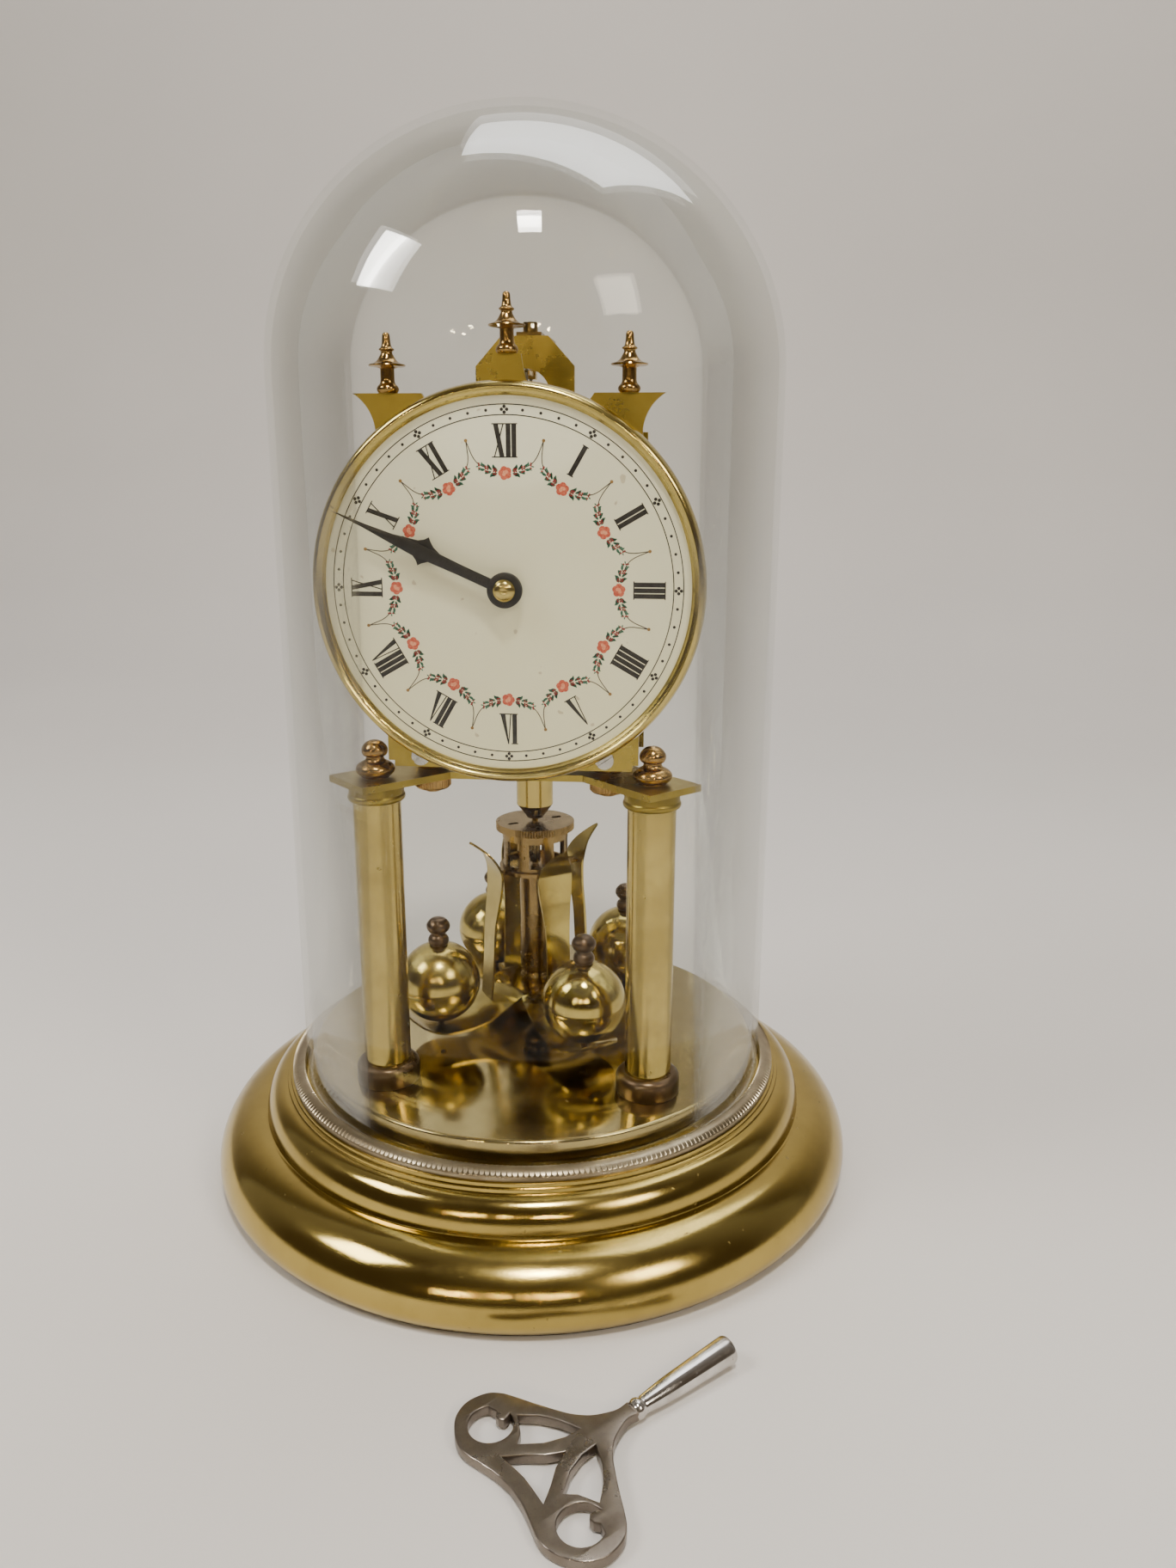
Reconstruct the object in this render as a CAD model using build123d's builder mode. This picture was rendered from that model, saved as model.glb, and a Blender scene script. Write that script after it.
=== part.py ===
from build123d import *
import os
from math import atan2, cos, degrees, hypot, pi, radians, sin, sqrt

# A torsion-pendulum clock under a glass dome, with its winding key.
# Origin at the middle of the underside, +Z up, the dial faces -Y, millimetres.

os.makedirs("parts", exist_ok=True)

# ---------------------------------------------------------------- clearances
running_gap = 0.05          # radial play of every pivot in its hole
bolt_gap = 0.10             # radial play of a rod, stud or screw in a drilled hole
face_gap = 0.10             # play between faces that pass or lift off each other
pin_gap = 0.12              # play of the anchor pin between the fork's tines

# ---------------------------------------------------------------- glass dome
dome_radius = 68.2          # drives the gallery, the raised plate and the base
dome_wall = 1.8
dome_height = 261.2
dome_crown = 64.7           # height of the rounded top
dome_outer_play = 0.8       # gap from the glass out to the gallery ring
dome_inner_play = 0.6       # gap from the glass in to the raised plate

# ---------------------------------------------------------------- base
gallery_inner_radius = dome_radius + dome_outer_play
gallery_outer_radius = gallery_inner_radius + 3.7
gallery_height = 2.9
gallery_slope = 1.3
plate_radius = dome_radius - dome_wall - dome_inner_play
plate_rise = 7.3
plate_wall = 0.8
plate_edge = 1.0            # rounding of the raised plate's edge
lip_radius = gallery_outer_radius + 1.6
lip_height = 27.6
lip_step = 1.0              # height and depth of the second thin lip
step_radius = lip_radius + 6.9
step_height = 18.8          # thin step between the lower and the upper moulding
step_ledge = 0.6
base_radius = step_radius + 13.8
rim_radius = base_radius - 2.5  # where the rolled rim meets the felt
rim_roll_height = 4.5       # felt to the widest line of the base
shell_wall = 1.0
ledge_inner_radius = plate_radius - 5.8  # opening in the shell's top under the raised plate
felt_radius = rim_radius - 1.0
felt_thickness = 1.0

# ---------------------------------------------------------------- pillars
pillar_x = 36.4
pillar_forward = 35.5
pillar_radius = 6.35
pillar_wall = 0.7
pillar_foot_radius = 8.7
pillar_foot_height = 6.0
pillar_collar_radius = 7.6
pillar_collar_height = 4.5
pillar_length = 79.6        # tube and collar together
pillar_rod_radius = 1.5
pillar_rod_below = 6.0
base_nut_flats = 6.0
base_nut_height = 3.0
washer_radius = 5.0
washer_thickness = 0.8
acorn_height = 9.8
acorn_radius = 5.2
acorn_neck = 2.4
acorn_cap = 3.55
acorn_ring_height = 4.3

# ---------------------------------------------------------------- seat of the movement
seat_thickness = 1.8
seat_arm_width = 17.8
seat_bar_half = 21.0
seat_bar_front = 29.4
seat_bar_rear = 7.5
seat_stud_x = 24.0
seat_stud_forward = 23.0
seat_stud_radius = 2.0
seat_collar_radius = 3.9
seat_collar_height = 2.9
thumb_nut_radius = 5.0
thumb_nut_height = 4.2
thumb_nut_grooves = 36

# ---------------------------------------------------------------- movement frame
plate_thickness = 1.5
plate_spacing = 27.0
back_plate_rear = 5.5       # forward of the base axis
frame_half_width = 32.7
frame_below_dial = 46.8
frame_above_dial = 38.0
ear_half_width = 38.0
ear_inner = 21.0
ear_rise = 46.2             # above the dial centre
tab_half_width = 3.4
tab_foot_half_width = 6.2
tab_rise = 55.1
post_radius = 2.4
post_screw_radius = 1.1
post_screw_head = 2.4
screw_head_height = 1.0
lower_bar_width = 7.6
lower_bar_height = 6.0

# ---------------------------------------------------------------- dial and hands
dial_rise = 49.7            # dial centre above the seat's top face
dial_radius = 46.6
dial_thickness = 0.9
dial_front = 40.5           # forward of the base axis
dial_bore = 3.2
bezel_radius = 49.0
bezel_sight_radius = 45.4
bezel_front = 42.6
bezel_back = 36.6
dial_foot_radius = 1.4
dial_foot_circle = 36.0
hour_hand_front = 43.3
minute_hand_front = 44.6
hand_thickness = 0.4
hour_hand_length = 34.1
minute_hand_length = 46.2
minute_shaft_half = 1.35
hand_hub_radius = 4.3
hand_nut_radius = 2.7
shown_hour = 9
shown_minute = 49

# ---------------------------------------------------------------- finials
finial_height = 14.0
finial_brim = 4.5
finial_x = 29.3
finial_pin_radius = 0.5
finial_pin_length = 3.0

# ---------------------------------------------------------------- wheel train
pivot_radius = 0.7
arbor_radius = 0.8
wheel_thickness = 0.8
leaf_length = 3.0
barrel_x = -10.0
barrel_drop = 26.5          # below the dial centre
barrel_radius = 15.6
barrel_length = 17.0
barrel_wall = 0.8
barrel_teeth = 72
barrel_module = 0.46
barrel_front = 30.0
barrel_rim_thickness = 1.5
barrel_arbor_radius = 2.0
winding_square = 2.8
winding_square_length = 7.0
ratchet_teeth = 24
ratchet_radius = 8.0
ratchet_depth = 1.0
ratchet_thickness = 1.2
click_play = 3.2            # degrees the ratchet turns before the click stops it
train_module = 0.35
upper_module = 0.25
first_teeth = 60
second_teeth = 54
pinion_leaves = 6
centre_teeth = 72
third_leaves = 18
third_teeth = 60
escape_leaves = 20
escape_teeth = 20
escape_radius = 7.0
escape_rise = 18.0          # above the centre arbor
anchor_rise = 9.8           # above the escape arbor
anchor_pin_rise = 27.0      # above the anchor arbor
anchor_pin_radius = 0.4
cannon_leaves = 12
minute_wheel_teeth = 36
minute_leaves = 10
hour_teeth = 40
motion_module = 0.40
cannon_radius = 1.6
hour_pipe_radius = 2.5

# ---------------------------------------------------------------- suspension
hang_back = 6.0             # suspension behind the base axis
bracket_half_width = 13.1
bracket_top_half_width = 6.2
bracket_rise = 62.2         # above the dial centre
bracket_shoulder = 54.7
bracket_drop = 26.0
bracket_window_radius = 6.6
bracket_window_rise = 47.5
bracket_thickness = 1.5
shelf_back = 11.0
saddle_height = 1.8
strip_width = 0.8
strip_thickness = 0.15
strip_bore = 0.6
fork_width = 3.0
fork_height = 2.4
fork_tine = 0.5
guard_radius = 5.4
guard_wall = 0.5
guard_bottom = 69.4         # above the raised plate
guard_length = 88.0
guard_cone_height = 4.2
guard_cone_tip = 2.3

# ---------------------------------------------------------------- torsion pendulum
disc_radius = 11.7
disc_rise = 64.1            # top of the regulating disc above the raised plate
disc_thickness = 2.2
disc_knurls = 90
stem_radius = 0.9
cage_radius = 9.8
cage_height = 12.4
cage_wall = 0.9
cage_slots = 8
cage_slot_width = 4.6
regulating_screw_radius = 1.5
column_radius = 4.8
column_bottom_rise = 17.0
collar_radius = 5.0
flower_thickness = 0.7
flower_radius = 42.6
flower_leaf_half_width = 9.6
ball_radius = 12.0
ball_circle = 31.7
ball_rise = 6.7             # underside of the balls above the raised plate
ball_angle = 213.0
knob_height = 8.4
knob_radius = 3.5
arm_width = 7.6
arm_thickness = 0.7
petal_width = 10.8
petal_tip_radius = 21.5
petal_tip_rise = 60.2
arm_pivot_radius = 13.2
arm_foot_radius = 16.5

# ---------------------------------------------------------------- winding key
key_x = 37.1
key_forward = 115.0
key_angle = 43.5
key_barrel_length = 29.4
key_barrel_radius = 3.4
key_neck_radius = 2.3
key_waist_radius = 2.8
key_waist = 11.8            # where the barrel's steep taper ends, from the neck
key_plate_thickness = 2.6
key_end = 34.9              # neck to the far edge of the bow
key_eye = (-26.4, 16.0)
key_eye_radius = 5.0
key_hook_radius = 1.4
key_socket_depth = 12.0

# ---------------------------------------------------------------- derived places
ledge_top = lip_height + 2 * lip_step
plate_top = ledge_top + plate_rise
seat_bottom = plate_top + pillar_length + pillar_foot_height
seat_top = seat_bottom + seat_thickness
dial_z = seat_top + dial_rise
back_plate_front = back_plate_rear + plate_thickness
front_plate_rear = back_plate_front + plate_spacing
front_plate_front = front_plate_rear + plate_thickness
disc_top = plate_top + disc_rise
ball_z = plate_top + ball_rise + ball_radius


def facing(forward, x=0.0, z=0.0):
    """A plane that looks forward, with its Y axis up, at this distance forward."""
    return Plane(origin=(x, -forward, z), x_dir=(1, 0, 0), z_dir=(0, -1, 0))


def hanging(z):
    """A level plane on the suspension's axis at this height."""
    return Plane(origin=(0, hang_back, z), x_dir=(1, 0, 0), z_dir=(0, 0, 1))


def upright(x, forward, turn=0.0):
    """A vertical section plane through an upright axis, turned about it."""
    direction = (cos(radians(turn)), sin(radians(turn)), 0)
    normal = (sin(radians(turn)), -cos(radians(turn)), 0)
    return Plane(origin=(x, -forward, 0), x_dir=direction, z_dir=normal)


def finish(part, name):
    """Label a finished piece and write it."""
    part.label = name
    export_step(part, f"parts/{name}.step")


def meeting_point(first, first_reach, second, second_reach, side):
    """The point at one reach from each of two points, on one side of their line."""
    across = second[0] - first[0]
    up = second[1] - first[1]
    distance = hypot(across, up)
    along = (first_reach ** 2 - second_reach ** 2 + distance ** 2) / (2 * distance)
    offset = side * sqrt(first_reach ** 2 - along ** 2)
    return (first[0] + (along * across + offset * up) / distance,
            first[1] + (along * up - offset * across) / distance)


def bearing(start, end):
    """The direction in degrees from one arbor to another, seen from the front."""
    return degrees(atan2(end[1] - start[1], end[0] - start[0]))


def wheel_outline(teeth, module, turn):
    """Corner points of a toothed wheel, with a tooth centred on the turn."""
    pitch_radius = teeth * module / 2
    tip = pitch_radius + 0.5 * module
    root = pitch_radius - 0.9 * module
    step = 2 * pi / teeth
    points = []
    for tooth in range(teeth):
        middle = radians(turn) + tooth * step
        for radius, share in ((root, -0.22), (tip, -0.10), (tip, 0.10), (root, 0.22)):
            angle = middle + share * step
            points.append((radius * cos(angle), radius * sin(angle)))
    return points


# ================================================================ base
with BuildPart() as base_felt:
    with BuildSketch():
        Circle(felt_radius)
    extrude(amount=felt_thickness)
finish(base_felt.part, "base_felt")


def base_section(inset):
    """Half section of the base, with every outer face moved in by inset."""
    rim = rim_radius - inset
    widest = base_radius - inset
    waist = step_radius - inset
    upper = step_radius - step_ledge - inset
    lip = lip_radius - inset
    top = ledge_top - inset
    low = felt_thickness
    widest_z = felt_thickness + rim_roll_height
    step_z = step_height - inset
    lip_z = lip_height - inset
    with BuildSketch(Plane.XZ) as section:
        with BuildLine():
            Line((0, low), (rim, low))
            ThreePointArc((rim, low), (widest - 0.7, low + 1.9), (widest, widest_z))
            EllipticalCenterArc((waist, widest_z), widest - waist, step_z - widest_z,
                                arc_size=90)
            Line((waist, step_z), (upper, step_z))
            EllipticalCenterArc((lip, step_z), upper - lip, lip_z - step_z, arc_size=90)
            Polyline((lip, lip_z), (lip, lip_z + lip_step), (lip - lip_step, lip_z + lip_step),
                     (lip - lip_step, top), (0, top), (0, low))
        make_face()
    return section.sketch


with BuildPart() as base_shell:
    add(base_section(0))
    revolve(axis=Axis.Z)
    add(base_section(shell_wall))
    revolve(axis=Axis.Z, mode=Mode.SUBTRACT)
    with BuildSketch(Plane.XY.offset(ledge_top)):
        Circle(ledge_inner_radius)
    extrude(amount=-2 * shell_wall, mode=Mode.SUBTRACT)
finish(base_shell.part, "base_shell")

with BuildPart() as gallery_ring:
    with BuildSketch(Plane.XZ):
        with BuildLine():
            Line((gallery_inner_radius, ledge_top), (gallery_outer_radius, ledge_top))
            Line((gallery_outer_radius, ledge_top),
                 (gallery_outer_radius, ledge_top + gallery_height - gallery_slope))
            ThreePointArc(
                (gallery_outer_radius, ledge_top + gallery_height - gallery_slope),
                ((gallery_outer_radius + gallery_inner_radius) / 2 + 0.6,
                 ledge_top + gallery_height - gallery_slope / 3),
                (gallery_inner_radius, ledge_top + gallery_height))
            Line((gallery_inner_radius, ledge_top + gallery_height),
                 (gallery_inner_radius, ledge_top))
        make_face()
    revolve(axis=Axis.Z)
finish(gallery_ring.part, "gallery_ring")

pillar_spots = [(-pillar_x, -pillar_forward), (pillar_x, -pillar_forward)]

with BuildPart() as mirror_plate:
    with BuildSketch(Plane.XY.offset(ledge_top)):
        Circle(plate_radius)
    extrude(amount=plate_rise)
    fillet(mirror_plate.edges().group_by(Axis.Z)[-1], radius=plate_edge)
    with BuildSketch(Plane.XY.offset(ledge_top)):
        Circle(plate_radius - plate_wall)
    extrude(amount=plate_rise - plate_wall, mode=Mode.SUBTRACT)
    with BuildSketch(Plane.XY.offset(plate_top)):
        with Locations(*pillar_spots):
            Circle(pillar_rod_radius + bolt_gap)
    extrude(amount=-2 * plate_wall, mode=Mode.SUBTRACT)
finish(mirror_plate.part, "mirror_plate")

# ================================================================ glass dome
dome_bottom = ledge_top + face_gap
dome_spring = dome_bottom + dome_height - dome_crown


def dome_side(radius, crown):
    """Half outline of the dome from its foot over the crown, as edges in the open sketch."""
    Line((radius, dome_bottom), (radius, dome_spring))
    Spline((radius, dome_spring),
           (radius * cos(radians(45)), dome_spring + crown * sin(radians(45))),
           (0, dome_spring + crown), tangents=[(0, 1), (-1, 0)])


with BuildPart() as glass_dome:
    with BuildSketch(Plane.XZ):
        with BuildLine():
            dome_side(dome_radius, dome_crown)
            Line((0, dome_spring + dome_crown), (0, dome_spring + dome_crown - dome_wall))
            dome_side(dome_radius - dome_wall, dome_crown - dome_wall)
            Line((dome_radius - dome_wall, dome_bottom), (dome_radius, dome_bottom))
        make_face()
    revolve(axis=Axis.Z)
finish(glass_dome.part, "glass_dome")

# ================================================================ pillars
foot_top = plate_top + pillar_foot_height
collar_bottom = seat_bottom - pillar_collar_height


def pillar_pieces(outline):
    """Turn one closed half outline about both pillar axes and bore it for the rod."""
    with BuildPart() as pair:
        for side in (-1, 1):
            with BuildSketch(upright(side * pillar_x, pillar_forward)):
                with BuildLine():
                    Polyline(*outline, close=True)
                make_face()
            revolve(axis=Axis((side * pillar_x, -pillar_forward, 0), (0, 0, 1)))
    return pair.part


bore = pillar_rod_radius + bolt_gap
foot_shoulder = 1.6
with BuildPart() as pillar_feet:
    for spot in pillar_spots:
        with BuildSketch(Plane.XY.offset(plate_top)):
            with Locations(spot):
                Circle(pillar_foot_radius)
        extrude(amount=pillar_foot_height)
    fillet(pillar_feet.edges().group_by(Axis.Z)[-1], radius=foot_shoulder)
    with BuildSketch(Plane.XY.offset(plate_top)):
        with Locations(*pillar_spots):
            Circle(bore)
    extrude(amount=pillar_foot_height, mode=Mode.SUBTRACT)
finish(pillar_feet.part, "pillar_feet")

with BuildPart() as pillars:
    with BuildSketch(Plane.XY.offset(foot_top)):
        with Locations(*pillar_spots):
            Circle(pillar_radius)
            Circle(pillar_radius - pillar_wall, mode=Mode.SUBTRACT)
    extrude(amount=collar_bottom - foot_top)
finish(pillars.part, "pillars")

collar_outline = [
    (bore, collar_bottom), (pillar_radius + 0.2, collar_bottom),
    (pillar_collar_radius - 0.3, collar_bottom + 1.1),
    (pillar_collar_radius, collar_bottom + 2.0),
    (pillar_collar_radius, seat_bottom), (bore, seat_bottom)]
finish(pillar_pieces(collar_outline), "pillar_collars")

rod_bottom = plate_top - plate_wall - pillar_rod_below
rod_top = seat_top + acorn_height - 3.0
with BuildPart() as pillar_rods:
    with BuildSketch(Plane.XY.offset(rod_bottom)):
        with Locations(*pillar_spots):
            Circle(pillar_rod_radius)
    extrude(amount=rod_top - rod_bottom)
finish(pillar_rods.part, "pillar_rods")

under_plate = plate_top - plate_wall
with BuildPart() as base_nuts:
    with BuildSketch(Plane.XY.offset(under_plate - washer_thickness)):
        with Locations(*pillar_spots):
            Circle(washer_radius)
            Circle(bore, mode=Mode.SUBTRACT)
    extrude(amount=washer_thickness)
    with BuildSketch(Plane.XY.offset(under_plate - washer_thickness - base_nut_height)):
        with Locations(*pillar_spots):
            RegularPolygon(base_nut_flats / 2, 6, major_radius=False)
            Circle(bore, mode=Mode.SUBTRACT)
    extrude(amount=base_nut_height)
finish(base_nuts.part, "base_nuts")

with BuildPart() as acorn_nuts:
    for x, y in pillar_spots:
        with BuildSketch(upright(x, -y)):
            with BuildLine():
                Line((0, seat_top), (acorn_radius - 1.4, seat_top))
                ThreePointArc((acorn_radius - 1.4, seat_top), (acorn_radius, seat_top + 2.1),
                              (acorn_radius - 1.4, seat_top + 4.1))
                ThreePointArc((acorn_radius - 1.4, seat_top + 4.1), (2.7, seat_top + 4.7),
                              (acorn_neck, seat_top + 5.6))
                Line((acorn_neck, seat_top + 5.6), (acorn_cap - 0.6, seat_top + 5.9))
                ThreePointArc((acorn_cap - 0.6, seat_top + 5.9), (acorn_cap, seat_top + 7.2),
                              (acorn_cap - 1.2, seat_top + acorn_height - 0.7))
                Spline((acorn_cap - 1.2, seat_top + acorn_height - 0.7), (0, seat_top + acorn_height),
                       tangents=[(-1, 0.6), (-1, 0)])
                Line((0, seat_top + acorn_height), (0, seat_top))
            make_face()
        revolve(axis=Axis((x, y, 0), (0, 0, 1)))
    with BuildSketch(Plane.XY.offset(seat_top)):
        with Locations(*pillar_spots):
            Circle(bore)
    extrude(amount=rod_top - seat_top + face_gap, mode=Mode.SUBTRACT)
finish(acorn_nuts.part, "acorn_nuts")

# ================================================================ movement seat
seat_spots = [(-seat_stud_x, -seat_stud_forward), (seat_stud_x, -seat_stud_forward)]
arm_reach = (pillar_forward - seat_bar_rear) * sqrt(2)
arm_middle = (arm_reach - seat_arm_width / 2) / 2 / sqrt(2)

with BuildPart() as seat_plate:
    with BuildSketch(Plane.XY.offset(seat_bottom)):
        with Locations((0, -(seat_bar_front + seat_bar_rear) / 2)):
            Rectangle(2 * seat_bar_half, seat_bar_front - seat_bar_rear)
        for side in (-1, 1):
            with Locations((side * (pillar_x - arm_middle), arm_middle - pillar_forward)):
                Rectangle(arm_reach + seat_arm_width / 2, seat_arm_width, rotation=-side * 45)
        with Locations((0, -seat_bar_rear)):
            Rectangle(4 * pillar_x, 4 * pillar_forward, align=(Align.CENTER, Align.MAX),
                      mode=Mode.INTERSECT)
        with Locations(*pillar_spots):
            Circle(bore, mode=Mode.SUBTRACT)
        with Locations(*seat_spots):
            Circle(seat_stud_radius + bolt_gap, mode=Mode.SUBTRACT)
    extrude(amount=seat_thickness)
finish(seat_plate.part, "seat_plate")

with BuildPart() as thumb_nuts:
    groove = 2 * pi * thumb_nut_radius / thumb_nut_grooves
    with BuildSketch(Plane.XY.offset(seat_bottom - thumb_nut_height)):
        with Locations(*seat_spots):
            Circle(thumb_nut_radius)
            with PolarLocations(thumb_nut_radius, thumb_nut_grooves):
                Rectangle(groove / 2, groove / 2, rotation=45, mode=Mode.SUBTRACT)
            Circle(seat_stud_radius + bolt_gap, mode=Mode.SUBTRACT)
    extrude(amount=thumb_nut_height)
finish(thumb_nuts.part, "thumb_nuts")

stud_bottom = seat_bottom - thumb_nut_height - 0.8
bar_z = seat_top + seat_collar_height + lower_bar_height / 2
with BuildPart() as seat_studs:
    with BuildSketch(Plane.XY.offset(seat_top)):
        with Locations(*seat_spots):
            Circle(seat_collar_radius)
    extrude(amount=seat_collar_height)
    with BuildSketch(Plane.XY.offset(stud_bottom)):
        with Locations(*seat_spots):
            Circle(seat_stud_radius)
    extrude(amount=seat_top - stud_bottom)
finish(seat_studs.part, "seat_studs")

# ================================================================ movement plates
centre = (0.0, dial_z)
barrel = (barrel_x, dial_z - barrel_drop)
escape = (0.0, dial_z + escape_rise)
anchor = (0.0, escape[1] + anchor_rise)
barrel_mesh = (barrel_teeth + pinion_leaves) * barrel_module / 2
first_mesh = (first_teeth + pinion_leaves) * train_module / 2
second_mesh = (second_teeth + pinion_leaves) * train_module / 2
third_mesh = (centre_teeth + third_leaves) * upper_module / 2
escape_mesh = (third_teeth + escape_leaves) * upper_module / 2
motion_mesh = (cannon_leaves + minute_wheel_teeth) * motion_module / 2
first = (barrel[0] + barrel_mesh * cos(radians(23.5)), barrel[1] + barrel_mesh * sin(radians(23.5)))
second = meeting_point(first, first_mesh, centre, second_mesh, 1)
third = meeting_point(centre, third_mesh, escape, escape_mesh, -1)
minute_arbor = (-motion_mesh * cos(radians(35)), dial_z + motion_mesh * sin(radians(35)))

pivot_spots = [first, second, third, escape]
frame_bottom = dial_z - frame_below_dial
frame_top = dial_z + frame_above_dial
upper_posts = [(-frame_half_width + 6, frame_top - 5), (frame_half_width - 6, frame_top - 5)]
lower_bars = [(-seat_stud_x, bar_z), (seat_stud_x, bar_z)]
click_spot = (barrel[0] - 10.3, barrel[1] + 6.2)
dial_foot_angles = [90, 215, 325]
dial_foot_spots = [(dial_foot_circle * cos(radians(a)), dial_z + dial_foot_circle * sin(radians(a)))
                   for a in dial_foot_angles]
bracket_screw_x = (bracket_half_width + bracket_window_radius) / 2
bracket_screw_spots = [(-bracket_screw_x, dial_z + frame_above_dial - 5),
                       (bracket_screw_x, dial_z + frame_above_dial - 5)]


nut_notch = frame_half_width - (pillar_x - acorn_radius) + bolt_gap


def plate_holes():
    """The holes that both movement plates share, cut into the open sketch."""
    with Locations(*pivot_spots):
        Circle(pivot_radius + running_gap, mode=Mode.SUBTRACT)
    with Locations(barrel):
        Circle(barrel_arbor_radius + running_gap, mode=Mode.SUBTRACT)
    with Locations(*upper_posts, *lower_bars):
        Circle(post_screw_radius + bolt_gap, mode=Mode.SUBTRACT)


with BuildPart() as front_plate:
    with BuildSketch(facing(front_plate_rear)):
        with BuildLine():
            ear_z = dial_z + ear_rise
            tab_z = dial_z + tab_rise
            Polyline((-frame_half_width, frame_top), (-frame_half_width, frame_bottom),
                     (frame_half_width, frame_bottom), (frame_half_width, frame_top))
            for side in (-1, 1):
                ThreePointArc((side * frame_half_width, frame_top),
                              (side * (frame_half_width + 1.6), frame_top + 4.6),
                              (side * ear_half_width, ear_z))
                Line((side * ear_half_width, ear_z), (side * ear_inner, ear_z))
                ThreePointArc((side * ear_inner, ear_z),
                              (side * (ear_inner - 7), ear_z - 4.5),
                              (side * tab_foot_half_width, ear_z - 1.5))
                ThreePointArc((side * tab_foot_half_width, ear_z - 1.5),
                              (side * (tab_half_width + 0.8), tab_z - 4.5),
                              (side * tab_half_width, tab_z))
            Line((-tab_half_width, tab_z), (tab_half_width, tab_z))
        make_face()
        plate_holes()
        with Locations(centre):
            Circle(arbor_radius + running_gap, mode=Mode.SUBTRACT)
        with Locations(anchor):
            Circle(pivot_radius + running_gap, mode=Mode.SUBTRACT)
        with Locations(*dial_foot_spots):
            Circle(dial_foot_radius + bolt_gap, mode=Mode.SUBTRACT)
        with Locations(minute_arbor):
            Circle(arbor_radius, mode=Mode.SUBTRACT)
        for side in (-1, 1):
            with Locations((side * (frame_half_width + nut_notch), frame_bottom - nut_notch)):
                Rectangle(4 * nut_notch, 4 * nut_notch, mode=Mode.SUBTRACT)
    extrude(amount=plate_thickness)
    front_middle = front_plate_rear + plate_thickness / 2
    for x, z in ((-finial_x, ear_z), (finial_x, ear_z), (0, tab_z)):
        with BuildSketch(Plane.XY.offset(z)):
            with Locations((x, -front_middle)):
                Circle(finial_pin_radius + bolt_gap)
        extrude(amount=-finial_pin_length - face_gap, mode=Mode.SUBTRACT)
finish(front_plate.part, "front_plate")

with BuildPart() as back_plate:
    with BuildSketch(facing(back_plate_rear)):
        with Locations((0, (frame_top + frame_bottom) / 2)):
            Rectangle(2 * frame_half_width, frame_top - frame_bottom)
        plate_holes()
        with Locations(centre):
            Circle(pivot_radius + running_gap, mode=Mode.SUBTRACT)
        with Locations(anchor):
            Circle(arbor_radius + running_gap, mode=Mode.SUBTRACT)
        with Locations(*bracket_screw_spots, click_spot):
            Circle(post_screw_radius + bolt_gap, mode=Mode.SUBTRACT)
    extrude(amount=plate_thickness)
finish(back_plate.part, "back_plate")

with BuildPart() as plate_posts:
    with BuildSketch(facing(back_plate_front)):
        with Locations(*upper_posts):
            Circle(post_radius)
            Circle(post_screw_radius, mode=Mode.SUBTRACT)
    extrude(amount=plate_spacing)
finish(plate_posts.part, "plate_posts")

with BuildPart() as lower_posts:
    with BuildSketch(facing(back_plate_front)):
        with Locations(*lower_bars):
            Rectangle(lower_bar_width, lower_bar_height)
            Circle(post_screw_radius, mode=Mode.SUBTRACT)
    extrude(amount=plate_spacing)
finish(lower_posts.part, "lower_posts")

screw_reach = 5.0
with BuildPart() as plate_screws:
    for face, outward in ((front_plate_front, 1), (back_plate_rear, -1)):
        with BuildSketch(facing(face)):
            with Locations(*upper_posts, *lower_bars):
                Circle(post_screw_head)
        extrude(amount=outward * screw_head_height)
        with BuildSketch(facing(face)):
            with Locations(*upper_posts, *lower_bars):
                Circle(post_screw_radius)
        extrude(amount=-outward * screw_reach)
        with BuildSketch(facing(face + outward * screw_head_height)):
            with Locations(*upper_posts, *lower_bars):
                Rectangle(2.4 * post_screw_head, 0.7, rotation=35)
        extrude(amount=-outward * screw_head_height / 2, mode=Mode.SUBTRACT)
finish(plate_screws.part, "plate_screws")

# ================================================================ wheels
leaf_gap = 0.6


def wheel_part(teeth, module, turn, spot, rear, thickness, hole, spokes=0):
    """One toothed wheel, its rear face at this distance forward."""
    with BuildPart() as wheel:
        with BuildSketch(facing(rear, *spot)):
            with BuildLine():
                Polyline(*wheel_outline(teeth, module, turn), close=True)
            make_face()
            rim = teeth * module / 2 - 3 * module - 0.6
            if spokes:
                window = (rim + arbor_radius + 1.2) / 2
                with PolarLocations(window, spokes):
                    Circle(window * sin(pi / spokes) - 0.5, mode=Mode.SUBTRACT)
            if hole:
                Circle(hole, mode=Mode.SUBTRACT)
        extrude(amount=thickness)
    return wheel.part


def arbor_part(spot, rear, front, rear_pivot, front_pivot):
    """A turned arbor between two distances forward, with a finer pivot at each end."""
    with BuildPart() as shaft:
        with BuildSketch(facing(rear, *spot)):
            Circle(arbor_radius)
        extrude(amount=front - rear)
        with BuildSketch(facing(rear - rear_pivot, *spot)):
            Circle(pivot_radius)
        extrude(amount=front - rear + rear_pivot + front_pivot)
    return shaft.part


arbor_rear = back_plate_front + face_gap
arbor_front = front_plate_rear - face_gap
pivot_length = plate_thickness

layers = {"first": back_plate_front + 1.7, "second": back_plate_front + 8.2,
          "centre": back_plate_front + 12.2, "third": back_plate_front + 4.2,
          "escape": back_plate_front + 16.2}
barrel_rear = barrel_front - barrel_length

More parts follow.
